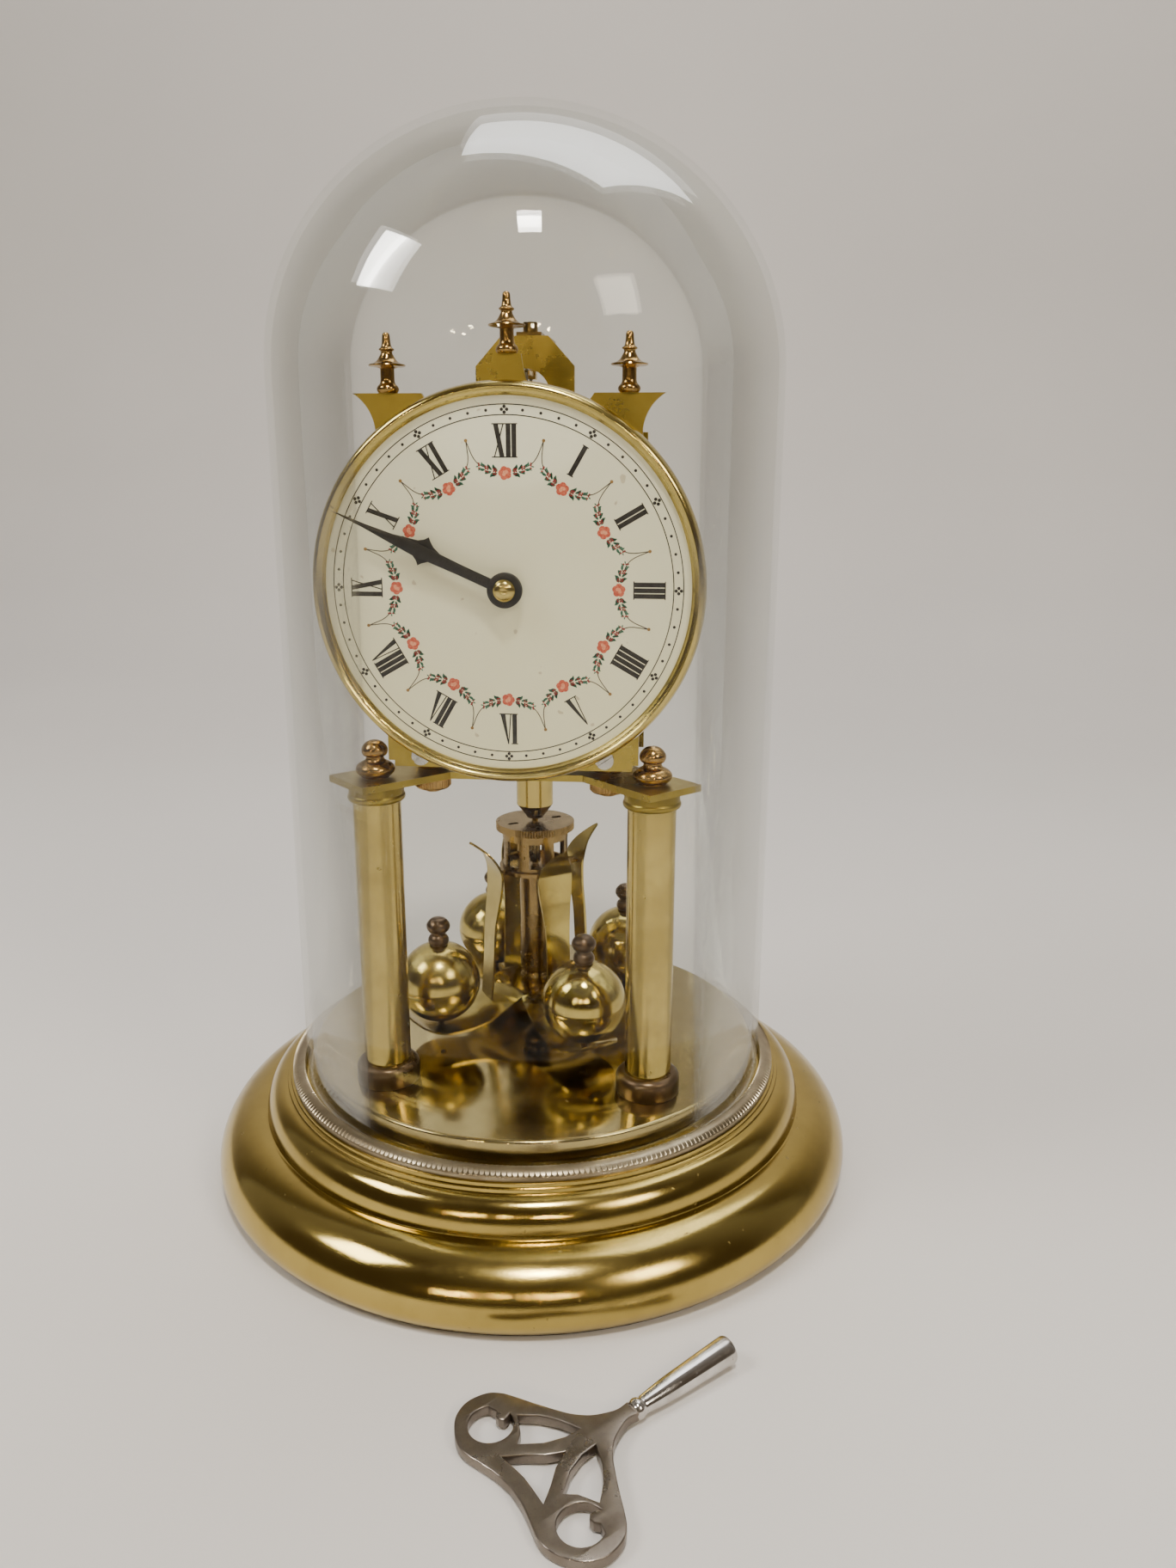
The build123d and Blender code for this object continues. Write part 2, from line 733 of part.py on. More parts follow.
with BuildPart() as first_wheel:
    add(arbor_part(first, arbor_rear, arbor_front, pivot_length, pivot_length))
    add(wheel_part(first_teeth, train_module, bearing(first, second) + 180 / first_teeth, first,
                   layers["first"], wheel_thickness, 0, 5))
    add(wheel_part(pinion_leaves, barrel_module, bearing(barrel, first) + 180, first,
                   barrel_rear - leaf_gap, barrel_rim_thickness + 2 * leaf_gap, 0))
finish(first_wheel.part, "first_wheel")

with BuildPart() as second_wheel:
    add(arbor_part(second, arbor_rear, arbor_front, pivot_length, pivot_length))
    add(wheel_part(second_teeth, train_module, bearing(second, centre) + 180 / second_teeth, second,
                   layers["second"], wheel_thickness, 0, 5))
    add(wheel_part(pinion_leaves, train_module, bearing(first, second) + 180, second,
                   layers["first"] - leaf_gap, leaf_length, 0))
finish(second_wheel.part, "second_wheel")

motion_rear = front_plate_front + face_gap
centre_front = minute_hand_front + 0.5
with BuildPart() as centre_wheel:
    with BuildSketch(facing(arbor_rear, *centre)):
        Circle(arbor_radius)
    extrude(amount=centre_front - arbor_rear)
    with BuildSketch(facing(arbor_rear - pivot_length, *centre)):
        Circle(pivot_radius)
    extrude(amount=pivot_length)
    add(wheel_part(centre_teeth, upper_module, bearing(centre, third) + 180 / centre_teeth, centre,
                   layers["centre"], wheel_thickness, 0, 5))
    add(wheel_part(pinion_leaves, train_module, bearing(second, centre) + 180, centre,
                   layers["second"] - leaf_gap, leaf_length, 0))
finish(centre_wheel.part, "centre_wheel")

with BuildPart() as third_wheel:
    add(arbor_part(third, arbor_rear, arbor_front, pivot_length, pivot_length))
    add(wheel_part(third_teeth, upper_module, bearing(third, escape) + 180 / third_teeth, third,
                   layers["third"], wheel_thickness, 0, 5))
    add(wheel_part(third_leaves, upper_module, bearing(centre, third) + 180, third,
                   layers["centre"] - leaf_gap, leaf_length, 0))
finish(third_wheel.part, "third_wheel")

with BuildPart() as escape_wheel:
    add(arbor_part(escape, arbor_rear, arbor_front, pivot_length, pivot_length))
    add(wheel_part(escape_leaves, upper_module, bearing(third, escape) + 180, escape,
                   layers["third"] - leaf_gap, leaf_length, 0))
    with BuildSketch(facing(layers["escape"], *escape)):
        Circle(escape_radius - 1.6)
        with PolarLocations(0, escape_teeth, start_angle=90 + 180 / escape_teeth):
            with BuildLine():
                Polyline((escape_radius - 1.7, -0.55), (escape_radius, -0.1),
                         (escape_radius, 0.1), (escape_radius - 1.7, 0.25), close=True)
            make_face()
        with PolarLocations(3.2, 5):
            Circle(1.1, mode=Mode.SUBTRACT)
    extrude(amount=wheel_thickness)
finish(escape_wheel.part, "escape_wheel")

pallet_span = 4.6
pallet_inner = escape_radius + 0.5
with BuildPart() as anchor_piece:
    with BuildSketch(facing(layers["escape"] - 0.3, *anchor)):
        Circle(1.9)
        for side in (-1, 1):
            with BuildLine():
                Polyline((side * 0.4, 1.7), (side * (pallet_span + 1.2), -1.6),
                         (side * (pallet_span + 1.5), -3.9), (side * pallet_span, -3.6),
                         (side * (pallet_span - 0.2), -2.2), (side * 1.0, -1.2), close=True)
            make_face()
        Circle(arbor_radius, mode=Mode.SUBTRACT)
    extrude(amount=wheel_thickness + 0.6)
    with BuildSketch(facing(layers["escape"] - 1.0, 0, escape[1])):
        Circle(pallet_inner)
    extrude(amount=wheel_thickness + 2.0, mode=Mode.SUBTRACT)
finish(anchor_piece.part, "anchor")

pin_forward = 2.6           # forward distance of the anchor pin, behind the back plate
pin_hub_length = 1.6
anchor_tail = pin_forward - pin_hub_length / 2
with BuildPart() as anchor_arbor:
    with BuildSketch(facing(anchor_tail, *anchor)):
        Circle(arbor_radius)
    extrude(amount=arbor_front - anchor_tail)
    with BuildSketch(facing(arbor_front, *anchor)):
        Circle(pivot_radius)
    extrude(amount=pivot_length)
finish(anchor_arbor.part, "anchor_arbor")

with BuildPart() as anchor_pin:
    with BuildSketch(facing(anchor_tail, *anchor)):
        Circle(2 * arbor_radius)
    extrude(amount=pin_hub_length)
    with BuildSketch(Plane.XY.offset(anchor[1])):
        with Locations((0, -pin_forward)):
            Circle(anchor_pin_radius)
    extrude(amount=anchor_pin_rise)
    with BuildSketch(facing(anchor_tail, *anchor)):
        Circle(arbor_radius)
    extrude(amount=pin_hub_length, mode=Mode.SUBTRACT)
finish(anchor_pin.part, "anchor_pin")

# ================================================================ barrel and winding work
with BuildPart() as barrel_drum:
    add(wheel_part(barrel_teeth, barrel_module, bearing(barrel, first) + 180 / barrel_teeth, barrel,
                   barrel_rear, barrel_rim_thickness, 0))
    with BuildSketch(facing(barrel_rear + barrel_rim_thickness, *barrel)):
        Circle(barrel_radius)
    extrude(amount=barrel_length - barrel_rim_thickness)
    with BuildSketch(facing(barrel_rear + barrel_rim_thickness, *barrel)):
        Circle(barrel_radius - barrel_wall)
    extrude(amount=barrel_length, mode=Mode.SUBTRACT)
    with BuildSketch(facing(barrel_rear, *barrel)):
        Circle(barrel_arbor_radius + running_gap)
    extrude(amount=barrel_length, mode=Mode.SUBTRACT)
finish(barrel_drum.part, "barrel")

with BuildPart() as barrel_cover:
    with BuildSketch(facing(barrel_front - barrel_wall, *barrel)):
        Circle(barrel_radius - barrel_wall)
        Circle(barrel_arbor_radius + running_gap, mode=Mode.SUBTRACT)
    extrude(amount=barrel_wall)
finish(barrel_cover.part, "barrel_cover")

ratchet_front = back_plate_rear - face_gap
ratchet_rear = ratchet_front - ratchet_thickness
square_rear = back_plate_rear - winding_square_length
with BuildPart() as winding_arbor:
    with BuildSketch(facing(ratchet_front, *barrel)):
        Circle(barrel_arbor_radius)
    extrude(amount=front_plate_front - ratchet_front)
    with BuildSketch(facing(square_rear, *barrel)):
        Rectangle(winding_square, winding_square)
    extrude(amount=ratchet_front - square_rear)
finish(winding_arbor.part, "winding_arbor")

ratchet_step = 360 / ratchet_teeth
click_angle = 109.0
ratchet_root = ratchet_radius - ratchet_depth


def around(spot, radius, angle):
    """A point at this radius and angle about a spot, seen from the front."""
    return (spot[0] + radius * cos(radians(angle)), spot[1] + radius * sin(radians(angle)))


with BuildPart() as ratchet_wheel:
    with BuildSketch(facing(ratchet_rear, *barrel)):
        corners = []
        for tooth in range(ratchet_teeth):
            corners.append(around((0, 0), ratchet_radius, click_angle + tooth * ratchet_step))
            corners.append(around((0, 0), ratchet_root, click_angle + tooth * ratchet_step))
        with BuildLine():
            Polyline(*corners, close=True)
        make_face()
        Rectangle(winding_square, winding_square, mode=Mode.SUBTRACT)
    extrude(amount=ratchet_thickness)
finish(ratchet_wheel.part, "ratchet_wheel")

click_turn = click_angle + click_play
click_tip = ratchet_root + face_gap + ratchet_depth * click_play / ratchet_step
with BuildPart() as click:
    with BuildSketch(facing(ratchet_rear)):
        with Locations(click_spot):
            Circle(2.2)
        with BuildLine():
            Polyline(around(barrel, click_tip, click_turn),
                     around(barrel, ratchet_radius + 0.9, click_turn),
                     (click_spot[0] + 0.4, click_spot[1] + 2.1),
                     (click_spot[0] + 1.0, click_spot[1] - 1.8),
                     around(barrel, ratchet_radius + 0.35, click_angle + ratchet_step), close=True)
        make_face()
        with Locations(click_spot):
            Circle(post_screw_radius + running_gap, mode=Mode.SUBTRACT)
    extrude(amount=ratchet_thickness)
finish(click.part, "click")

# ================================================================ dial, hands and motion work
minute_pinion_module = 2 * motion_mesh / (minute_leaves + hour_teeth)
cannon_rear = motion_rear + 0.5
cannon_thickness = 1.4
minute_rear = cannon_rear + 0.2
minute_thickness = 1.0
hour_rear = minute_rear + minute_thickness + 0.5
hour_wheel_thickness = 1.0
hour_hand_rear = hour_hand_front - hand_thickness
minute_hand_rear = minute_hand_front - hand_thickness
to_minute = bearing(centre, minute_arbor)


def turned(x, z):
    """A section plane through a fore-and-aft axis, with its Y axis forward."""
    return Plane(origin=(x, 0, z), x_dir=(1, 0, 0), z_dir=(0, 0, -1))


def hand_plane(forward, turn):
    """A plane that looks forward, with its Y axis at this clock angle."""
    return Plane(origin=(0, -forward, dial_z),
                 x_dir=(cos(radians(turn)), 0, -sin(radians(turn))), z_dir=(0, -1, 0))


with BuildPart() as cannon_pinion:
    add(wheel_part(cannon_leaves, motion_module, to_minute, centre, cannon_rear,
                   cannon_thickness, 0))
    with BuildSketch(facing(motion_rear, *centre)):
        Circle(cannon_radius)
    extrude(amount=minute_hand_front - motion_rear)
    with BuildSketch(facing(motion_rear, *centre)):
        Circle(arbor_radius)
    extrude(amount=minute_hand_front - motion_rear, mode=Mode.SUBTRACT)
finish(cannon_pinion.part, "cannon_pinion")

minute_pinion_front = hour_rear + hour_wheel_thickness + 0.2
with BuildPart() as minute_wheel:
    add(wheel_part(minute_wheel_teeth, motion_module, to_minute + 180 + 180 / minute_wheel_teeth,
                   minute_arbor, minute_rear, minute_thickness, 0))
    add(wheel_part(minute_leaves, minute_pinion_module, to_minute + 180, minute_arbor,
                   minute_rear + minute_thickness,
                   minute_pinion_front - minute_rear - minute_thickness, 0))
    with BuildSketch(facing(minute_rear, *minute_arbor)):
        Circle(arbor_radius + running_gap)
    extrude(amount=minute_pinion_front - minute_rear, mode=Mode.SUBTRACT)
finish(minute_wheel.part, "minute_wheel")

with BuildPart() as minute_stud:
    with BuildSketch(facing(front_plate_rear, *minute_arbor)):
        Circle(arbor_radius)
    extrude(amount=minute_pinion_front + 0.2 - front_plate_rear)
finish(minute_stud.part, "minute_stud")

with BuildPart() as hour_wheel:
    add(wheel_part(hour_teeth, minute_pinion_module, to_minute + 180 / hour_teeth, centre,
                   hour_rear, hour_wheel_thickness, 0))
    with BuildSketch(facing(hour_rear, *centre)):
        Circle(hour_pipe_radius)
    extrude(amount=hour_hand_front - hour_rear)
    with BuildSketch(facing(hour_rear, *centre)):
        Circle(cannon_radius + running_gap)
    extrude(amount=hour_hand_front - hour_rear, mode=Mode.SUBTRACT)
finish(hour_wheel.part, "hour_wheel")

minute_turn = 6.0 * shown_minute
hour_turn = 30.0 * (shown_hour + shown_minute / 60)
with BuildPart() as hour_hand:
    with BuildSketch(hand_plane(hour_hand_rear, hour_turn)):
        Circle(hand_hub_radius)
        with BuildLine():
            shoulder = hour_hand_length - 12.1
            Polyline((-0.8, shoulder - 7), (-1.0, 0), (1.0, 0), (0.8, shoulder - 7))
            for side in (-1, 1):
                ThreePointArc((side * 0.8, shoulder - 7), (side * 1.6, shoulder - 3),
                              (side * 3.7, shoulder))
                ThreePointArc((side * 3.7, shoulder), (side * 1.8, shoulder + 2.2),
                              (side * 1.1, shoulder + 4.5))
            Polyline((-1.1, shoulder + 4.5), (0, hour_hand_length), (1.1, shoulder + 4.5))
        make_face()
        Circle(hour_pipe_radius, mode=Mode.SUBTRACT)
    extrude(amount=hand_thickness)
finish(hour_hand.part, "hour_hand")

with BuildPart() as minute_hand:
    with BuildSketch(hand_plane(minute_hand_rear, minute_turn)):
        Circle(hand_hub_radius)
        with BuildLine():
            Polyline((-minute_shaft_half, 0), (minute_shaft_half, 0),
                     (minute_shaft_half + 0.25, 0.52 * minute_hand_length),
                     (0.5, 0.81 * minute_hand_length), (0, minute_hand_length),
                     (-0.5, 0.81 * minute_hand_length),
                     (-minute_shaft_half - 0.25, 0.52 * minute_hand_length), close=True)
        make_face()
        Circle(cannon_radius, mode=Mode.SUBTRACT)
    extrude(amount=hand_thickness)
finish(minute_hand.part, "minute_hand")

hand_nut_height = 1.7
with BuildPart() as hand_nut:
    with BuildSketch(turned(*centre)):
        with BuildLine():
            Line((arbor_radius, minute_hand_front), (hand_nut_radius, minute_hand_front))
            ThreePointArc((hand_nut_radius, minute_hand_front),
                          (0.78 * hand_nut_radius, minute_hand_front + 0.62 * hand_nut_height),
                          (arbor_radius, minute_hand_front + hand_nut_height))
            Line((arbor_radius, minute_hand_front + hand_nut_height),
                 (arbor_radius, minute_hand_front))
        make_face()
    revolve(axis=Axis((0, 0, dial_z), (0, 1, 0)))
finish(hand_nut.part, "hand_nut")

dial_back = dial_front - dial_thickness
with BuildPart() as dial:
    with BuildSketch(facing(dial_back, *centre)):
        Circle(dial_radius)
        Circle(dial_bore, mode=Mode.SUBTRACT)
    extrude(amount=dial_thickness)
    with BuildSketch(facing(front_plate_rear - 1.0)):
        with Locations(*dial_foot_spots):
            Circle(dial_foot_radius)
    extrude(amount=dial_back - front_plate_rear + 1.0)
finish(dial.part, "dial")

with BuildPart() as bezel:
    with BuildSketch(turned(*centre)):
        with BuildLine():
            Polyline((dial_radius + bolt_gap, bezel_back), (bezel_radius - 0.9, bezel_back),
                     (bezel_radius, bezel_back + 1.8))
            ThreePointArc((bezel_radius, bezel_back + 1.8), (bezel_radius - 0.35, bezel_front - 1.4),
                          (bezel_radius - 1.6, bezel_front))
            ThreePointArc((bezel_radius - 1.6, bezel_front), (bezel_sight_radius + 0.9, bezel_front - 0.6),
                          (bezel_sight_radius, dial_front + 0.6))
            Polyline((bezel_sight_radius, dial_front + 0.6), (bezel_sight_radius, dial_front),
                     (dial_radius + bolt_gap, dial_front), (dial_radius + bolt_gap, bezel_back))
        make_face()
    revolve(axis=Axis((0, 0, dial_z), (0, 1, 0)))
finish(bezel.part, "bezel")

# ================================================================ finials and frame screws
finial_spots = [(-finial_x, ear_z), (finial_x, ear_z), (0, tab_z)]
with BuildPart() as finials:
    for x, z in finial_spots:
        with BuildSketch(upright(x, front_middle)):
            with BuildLine():
                Line((0, z), (2.2, z))
                ThreePointArc((2.2, z), (2.65, z + 0.9), (2.2, z + 1.8))
                ThreePointArc((2.2, z + 1.8), (1.9, z + 2.4), (1.75, z + 3.3))
                Line((1.75, z + 3.3), (1.75, z + 6.1))
                Line((1.75, z + 6.1), (finial_brim, z + 6.2))
                Line((finial_brim, z + 6.2), (finial_brim, z + 6.6))
                ThreePointArc((finial_brim, z + 6.6), (2.6, z + 7.3), (1.7, z + 8.6))
                Polyline((1.7, z + 8.6), (1.4, z + 9.2), (1.4, z + 9.6), (1.85, z + 10.0),
                         (1.3, z + 10.8), (1.0, z + finial_height - 0.9),
                         (0.5, z + finial_height - 0.1), (0, z + finial_height), (0, z))
            make_face()
        revolve(axis=Axis((x, -front_middle, 0), (0, 0, 1)))
        with BuildSketch(Plane.XY.offset(z)):
            with Locations((x, -front_middle)):
                Circle(finial_pin_radius)
        extrude(amount=-finial_pin_length)
finish(finials.part, "finials")

bracket_top = dial_z + bracket_rise
shelf_bottom = bracket_top - bracket_thickness
bracket_rear = back_plate_rear - bracket_thickness
with BuildPart() as suspension_bracket:
    with BuildSketch(facing(bracket_rear)):
        with BuildLine():
            Polyline((-bracket_half_width, dial_z + bracket_shoulder - bracket_drop),
                     (bracket_half_width, dial_z + bracket_shoulder - bracket_drop),
                     (bracket_half_width, dial_z + bracket_shoulder),
                     (bracket_top_half_width, bracket_top), (-bracket_top_half_width, bracket_top),
                     (-bracket_half_width, dial_z + bracket_shoulder), close=True)
        make_face()
        with Locations((0, dial_z + bracket_window_rise)):
            Circle(bracket_window_radius, mode=Mode.SUBTRACT)
            Rectangle(2 * bracket_window_radius, bracket_drop, align=(Align.CENTER, Align.MAX),
                      mode=Mode.SUBTRACT)
        with Locations(*bracket_screw_spots):
            Circle(post_screw_radius + bolt_gap, mode=Mode.SUBTRACT)
    extrude(amount=bracket_thickness)
    with BuildSketch(Plane.XY.offset(shelf_bottom)):
        with Locations((0, (shelf_back - back_plate_rear) / 2)):
            Rectangle(2 * bracket_top_half_width, shelf_back + back_plate_rear)
    extrude(amount=bracket_thickness)
    with BuildSketch(hanging(shelf_bottom)):
        Circle(pivot_radius + bolt_gap)
    extrude(amount=bracket_thickness, mode=Mode.SUBTRACT)
finish(suspension_bracket.part, "suspension_bracket")

small_head = 2.0
with BuildPart() as frame_screws:
    screw_seats = [(spot, bracket_rear) for spot in bracket_screw_spots]
    screw_seats.append((click_spot, ratchet_rear - face_gap))
    for spot, seat in screw_seats:
        with BuildSketch(facing(seat, *spot)):
            Circle(small_head)
            Rectangle(2.4 * small_head, 0.6, rotation=20, mode=Mode.SUBTRACT)
        extrude(amount=-screw_head_height)
        with BuildSketch(facing(seat, *spot)):
            Circle(post_screw_radius)
        extrude(amount=back_plate_front - seat)
finish(frame_screws.part, "frame_screws")

# ================================================================ suspension
block_top = shelf_bottom
block_bottom = block_top - 5.6
screw_tip = block_top - 3.4
strip_top = screw_tip - 0.3
with BuildPart() as hanger_screw:
    with BuildSketch(hanging(bracket_top)):
        Rectangle(6.8, 6.8)
    extrude(amount=saddle_height)
    with BuildSketch(hanging(bracket_top + saddle_height)):
        Circle(small_head)
    extrude(amount=2.7)
    with BuildSketch(hanging(bracket_top + saddle_height + 2.7)):
        Rectangle(2.4 * small_head, 0.6, rotation=70)
    extrude(amount=-0.8, mode=Mode.SUBTRACT)
    with BuildSketch(hanging(screw_tip)):
        Circle(pivot_radius)
    extrude(amount=bracket_top - screw_tip)
finish(hanger_screw.part, "hanger_screw")

with BuildPart() as top_block:
    with BuildSketch(hanging(block_bottom)):
        Rectangle(5.0, 4.0)
    extrude(amount=block_top - block_bottom)
    with BuildSketch(hanging(screw_tip)):
        Circle(pivot_radius)
    extrude(amount=block_top - screw_tip, mode=Mode.SUBTRACT)
    with BuildSketch(hanging(block_bottom)):
        Circle(strip_bore)
    extrude(amount=strip_top - block_bottom, mode=Mode.SUBTRACT)
finish(top_block.part, "top_block")

fork_top = block_bottom - 0.6
fork_bottom = fork_top - fork_height
with BuildPart() as fork:
    with BuildSketch(hanging(fork_bottom)):
        Rectangle(fork_width, fork_width)
        Circle(strip_bore, mode=Mode.SUBTRACT)
    extrude(amount=fork_height)
    tine_x = anchor_pin_radius + pin_gap + fork_tine / 2
    tine_end = pin_forward + 1.0
    with BuildSketch(Plane.XY.offset(fork_bottom + fork_height / 4)):
        for side in (-1, 1):
            with Locations((side * tine_x, hang_back - fork_width / 2 + 0.2)):
                Rectangle(fork_tine, hang_back - fork_width / 2 + 0.2 + tine_end,
                          align=(Align.CENTER, Align.MAX))
    extrude(amount=fork_height / 2)
finish(fork.part, "fork")

hook_bottom = disc_top + 10.0
hook_height = 6.0
strip_bottom = hook_bottom + 1.5
with BuildPart() as suspension_strip:
    with BuildSketch(hanging(strip_bottom)):
        Rectangle(strip_width, strip_thickness)
    extrude(amount=strip_top - strip_bottom)
finish(suspension_strip.part, "suspension_strip")

# ================================================================ guard tube
guard_z = plate_top + guard_bottom
cone_tip_z = guard_z - guard_cone_height
with BuildPart() as guard_tube:
    with BuildSketch(hanging(guard_z)):
        Circle(guard_radius)
        Circle(guard_radius - guard_wall, mode=Mode.SUBTRACT)
    extrude(amount=guard_length)
    for rise in (28.0, 76.0):
        with BuildSketch(hanging(guard_z + rise)):
            with Locations((0, -guard_radius)):
                Rectangle(6.0, hang_back - guard_radius + back_plate_rear + guard_wall,
                          align=(Align.CENTER, Align.MAX))
            with Locations((0, guard_wall - guard_radius)):
                Rectangle(6.0, 1.6, align=(Align.CENTER, Align.MAX))
            Circle(guard_radius - guard_wall, mode=Mode.SUBTRACT)
        extrude(amount=4.0)
    with BuildSketch(Plane.XY.offset(guard_z)):
        with Locations((0, -back_plate_rear)):
            Rectangle(20, 20, align=(Align.CENTER, Align.MAX))
    extrude(amount=guard_length, mode=Mode.SUBTRACT)
finish(guard_tube.part, "guard_tube")

cone_bore = stem_radius + 0.5
with BuildPart() as guard_cone:
    with BuildSketch(upright(0, -hang_back)):
        with BuildLine():
            Polyline((guard_radius - guard_wall - 0.5, guard_z), (guard_radius, guard_z),
                     (guard_cone_tip, cone_tip_z), (cone_bore, cone_tip_z), close=True)
        make_face()
    revolve(axis=Axis((0, hang_back, 0), (0, 0, 1)))
    for turn in (20, 110):
        with BuildSketch(hanging(cone_tip_z + 1.0)):
            Rectangle(4 * guard_radius, 2.0, rotation=turn)
        extrude(amount=guard_cone_height - 2.0, mode=Mode.SUBTRACT)
finish(guard_cone.part, "guard_cone")

# ================================================================ torsion pendulum
disc_bottom = disc_top - disc_thickness
cage_top = disc_bottom - 2 * face_gap
cage_bottom = cage_top - cage_height
column_top = cage_bottom
stem_foot = 2.0
with BuildPart() as pendulum_stem:
    with BuildSketch(hanging(column_top - stem_foot)):
        Circle(stem_radius)
    extrude(amount=hook_bottom - column_top + stem_foot)
    with BuildSketch(hanging(hook_bottom)):
        Circle(2.0)
    extrude(amount=hook_height)
    with BuildSketch(hanging(strip_bottom)):
        Circle(strip_bore)
    extrude(amount=hook_height, mode=Mode.SUBTRACT)
finish(pendulum_stem.part, "pendulum_stem")

screw_foot = cage_bottom + 2.0
with BuildPart() as regulating_disc:
    knurl = 2 * pi * disc_radius / disc_knurls
    with BuildSketch(hanging(disc_bottom)):
        Circle(disc_radius)
        with PolarLocations(disc_radius, disc_knurls):
            Rectangle(knurl / 2, knurl / 2, rotation=45, mode=Mode.SUBTRACT)
        with PolarLocations(0.62 * disc_radius, 2, start_angle=35):
            SlotOverall(3.2, 1.6, mode=Mode.SUBTRACT)
    extrude(amount=disc_thickness)
    with BuildSketch(hanging(screw_foot)):
        Circle(regulating_screw_radius)
    extrude(amount=disc_bottom - screw_foot)
    with BuildSketch(hanging(screw_foot)):
        Circle(stem_radius + running_gap)
    extrude(amount=disc_top - screw_foot, mode=Mode.SUBTRACT)
finish(regulating_disc.part, "regulating_disc")

cage_floor = 1.2
shoulder_radius = cage_radius + 1.0
arm_angles = [ball_angle + 90 * quarter for quarter in range(4)]
lug_reach = arm_pivot_radius - arm_thickness / 2
with BuildPart() as pendulum_cage:
    with BuildSketch(hanging(cage_bottom)):
        Circle(cage_radius)
        Circle(cage_radius - cage_wall, mode=Mode.SUBTRACT)
    extrude(amount=cage_height)
    for turn in range(cage_slots // 2):
        with BuildSketch(hanging(cage_bottom + 2 * cage_floor)):
            Rectangle(4 * cage_radius, cage_slot_width, rotation=ball_angle + (turn + 0.5) * 360 / cage_slots)
        extrude(amount=cage_height - 4 * cage_floor, mode=Mode.SUBTRACT)
    with BuildSketch(hanging(cage_bottom)):
        Circle(shoulder_radius)
        for angle in arm_angles:
            Rectangle(lug_reach, 3.0, rotation=angle, align=(Align.MIN, Align.CENTER))
    extrude(amount=cage_floor)
    with BuildSketch(hanging(cage_top - cage_floor)):
        Circle(cage_radius)
    extrude(amount=cage_floor)
    with BuildSketch(hanging(cage_bottom)):
        Circle(stem_radius)
    extrude(amount=cage_floor, mode=Mode.SUBTRACT)
    with BuildSketch(hanging(cage_top - cage_floor)):
        Circle(regulating_screw_radius + running_gap)
    extrude(amount=cage_floor, mode=Mode.SUBTRACT)
finish(pendulum_cage.part, "pendulum_cage")

column_bottom = plate_top + column_bottom_rise
spigot_radius = 2.0
with BuildPart() as column:
    with BuildSketch(hanging(column_bottom)):
        Circle(column_radius)
    extrude(amount=column_top - column_bottom)
    flower_top = column_bottom - 3.6
    with BuildSketch(hanging(flower_top)):
        Circle(collar_radius)
    extrude(amount=column_bottom - flower_top)
    with BuildSketch(hanging(flower_top - 5.0)):
        Circle(spigot_radius)
    extrude(amount=5.0)
    with BuildSketch(hanging(column_top)):
        Circle(stem_radius)
    extrude(amount=-stem_foot, mode=Mode.SUBTRACT)
finish(column.part, "column")

knob_top = flower_top - flower_thickness
with BuildPart() as column_knob:
    with BuildSketch(upright(0, -hang_back)):
        with BuildLine():
            Line((0, knob_top), (4.6, knob_top))
            Polyline((4.6, knob_top), (4.6, knob_top - 1.2), (3.4, knob_top - 1.8),
                     (3.4, knob_top - 3.4), (4.6, knob_top - 4.2))
            ThreePointArc((4.6, knob_top - 4.2), (4.2, knob_top - 7.6), (2.2, knob_top - 9.4))
            Polyline((2.2, knob_top - 9.4), (0, knob_top - 9.7), (0, knob_top))
        make_face()
    revolve(axis=Axis((0, hang_back, 0), (0, 0, 1)))
    with BuildSketch(hanging(knob_top)):
        Circle(spigot_radius)
    extrude(amount=flower_top - 5.0 - knob_top, mode=Mode.SUBTRACT)
finish(column_knob.part, "column_knob")

# Radius and drop below the column's collar of the dished leaves' upper face.
leaf_dish = [(6.0, 0.0), (13.0, 1.0), (22.0, 6.2), (31.7, 7.6), (38.5, 6.2), (42.6, 3.0)]
flower_hub = 13.0
ball_spots = [(ball_circle * cos(radians(a)), ball_circle * sin(radians(a))) for a in arm_angles]
pin_radius = 0.9
with BuildPart() as flower:
    with BuildSketch(upright(0, -hang_back)):
        with BuildLine():
            upper = [(r, flower_top - drop) for r, drop in leaf_dish]
            lower = [(r, z - flower_thickness) for r, z in reversed(upper)]
            Line((0, flower_top), upper[0])
            Spline(*upper)
            Line(upper[-1], lower[0])
            Spline(*lower)
            Polyline(lower[-1], (0, knob_top), (0, flower_top))
        make_face()
    revolve(axis=Axis((0, hang_back, 0), (0, 0, 1)))
    with BuildSketch(hanging(plate_top)):
        Circle(flower_hub)
        for angle in arm_angles:
            Rectangle(flower_radius - flower_leaf_half_width, 2 * flower_leaf_half_width,
                      rotation=angle, align=(Align.MIN, Align.CENTER))
        with PolarLocations(flower_radius - flower_leaf_half_width, 4, start_angle=ball_angle):
            Circle(flower_leaf_half_width)
        with Locations(*ball_spots):
            Circle(pin_radius, mode=Mode.SUBTRACT)
        Circle(spigot_radius, mode=Mode.SUBTRACT)
    extrude(amount=flower_radius, mode=Mode.INTERSECT)
finish(flower.part, "flower")

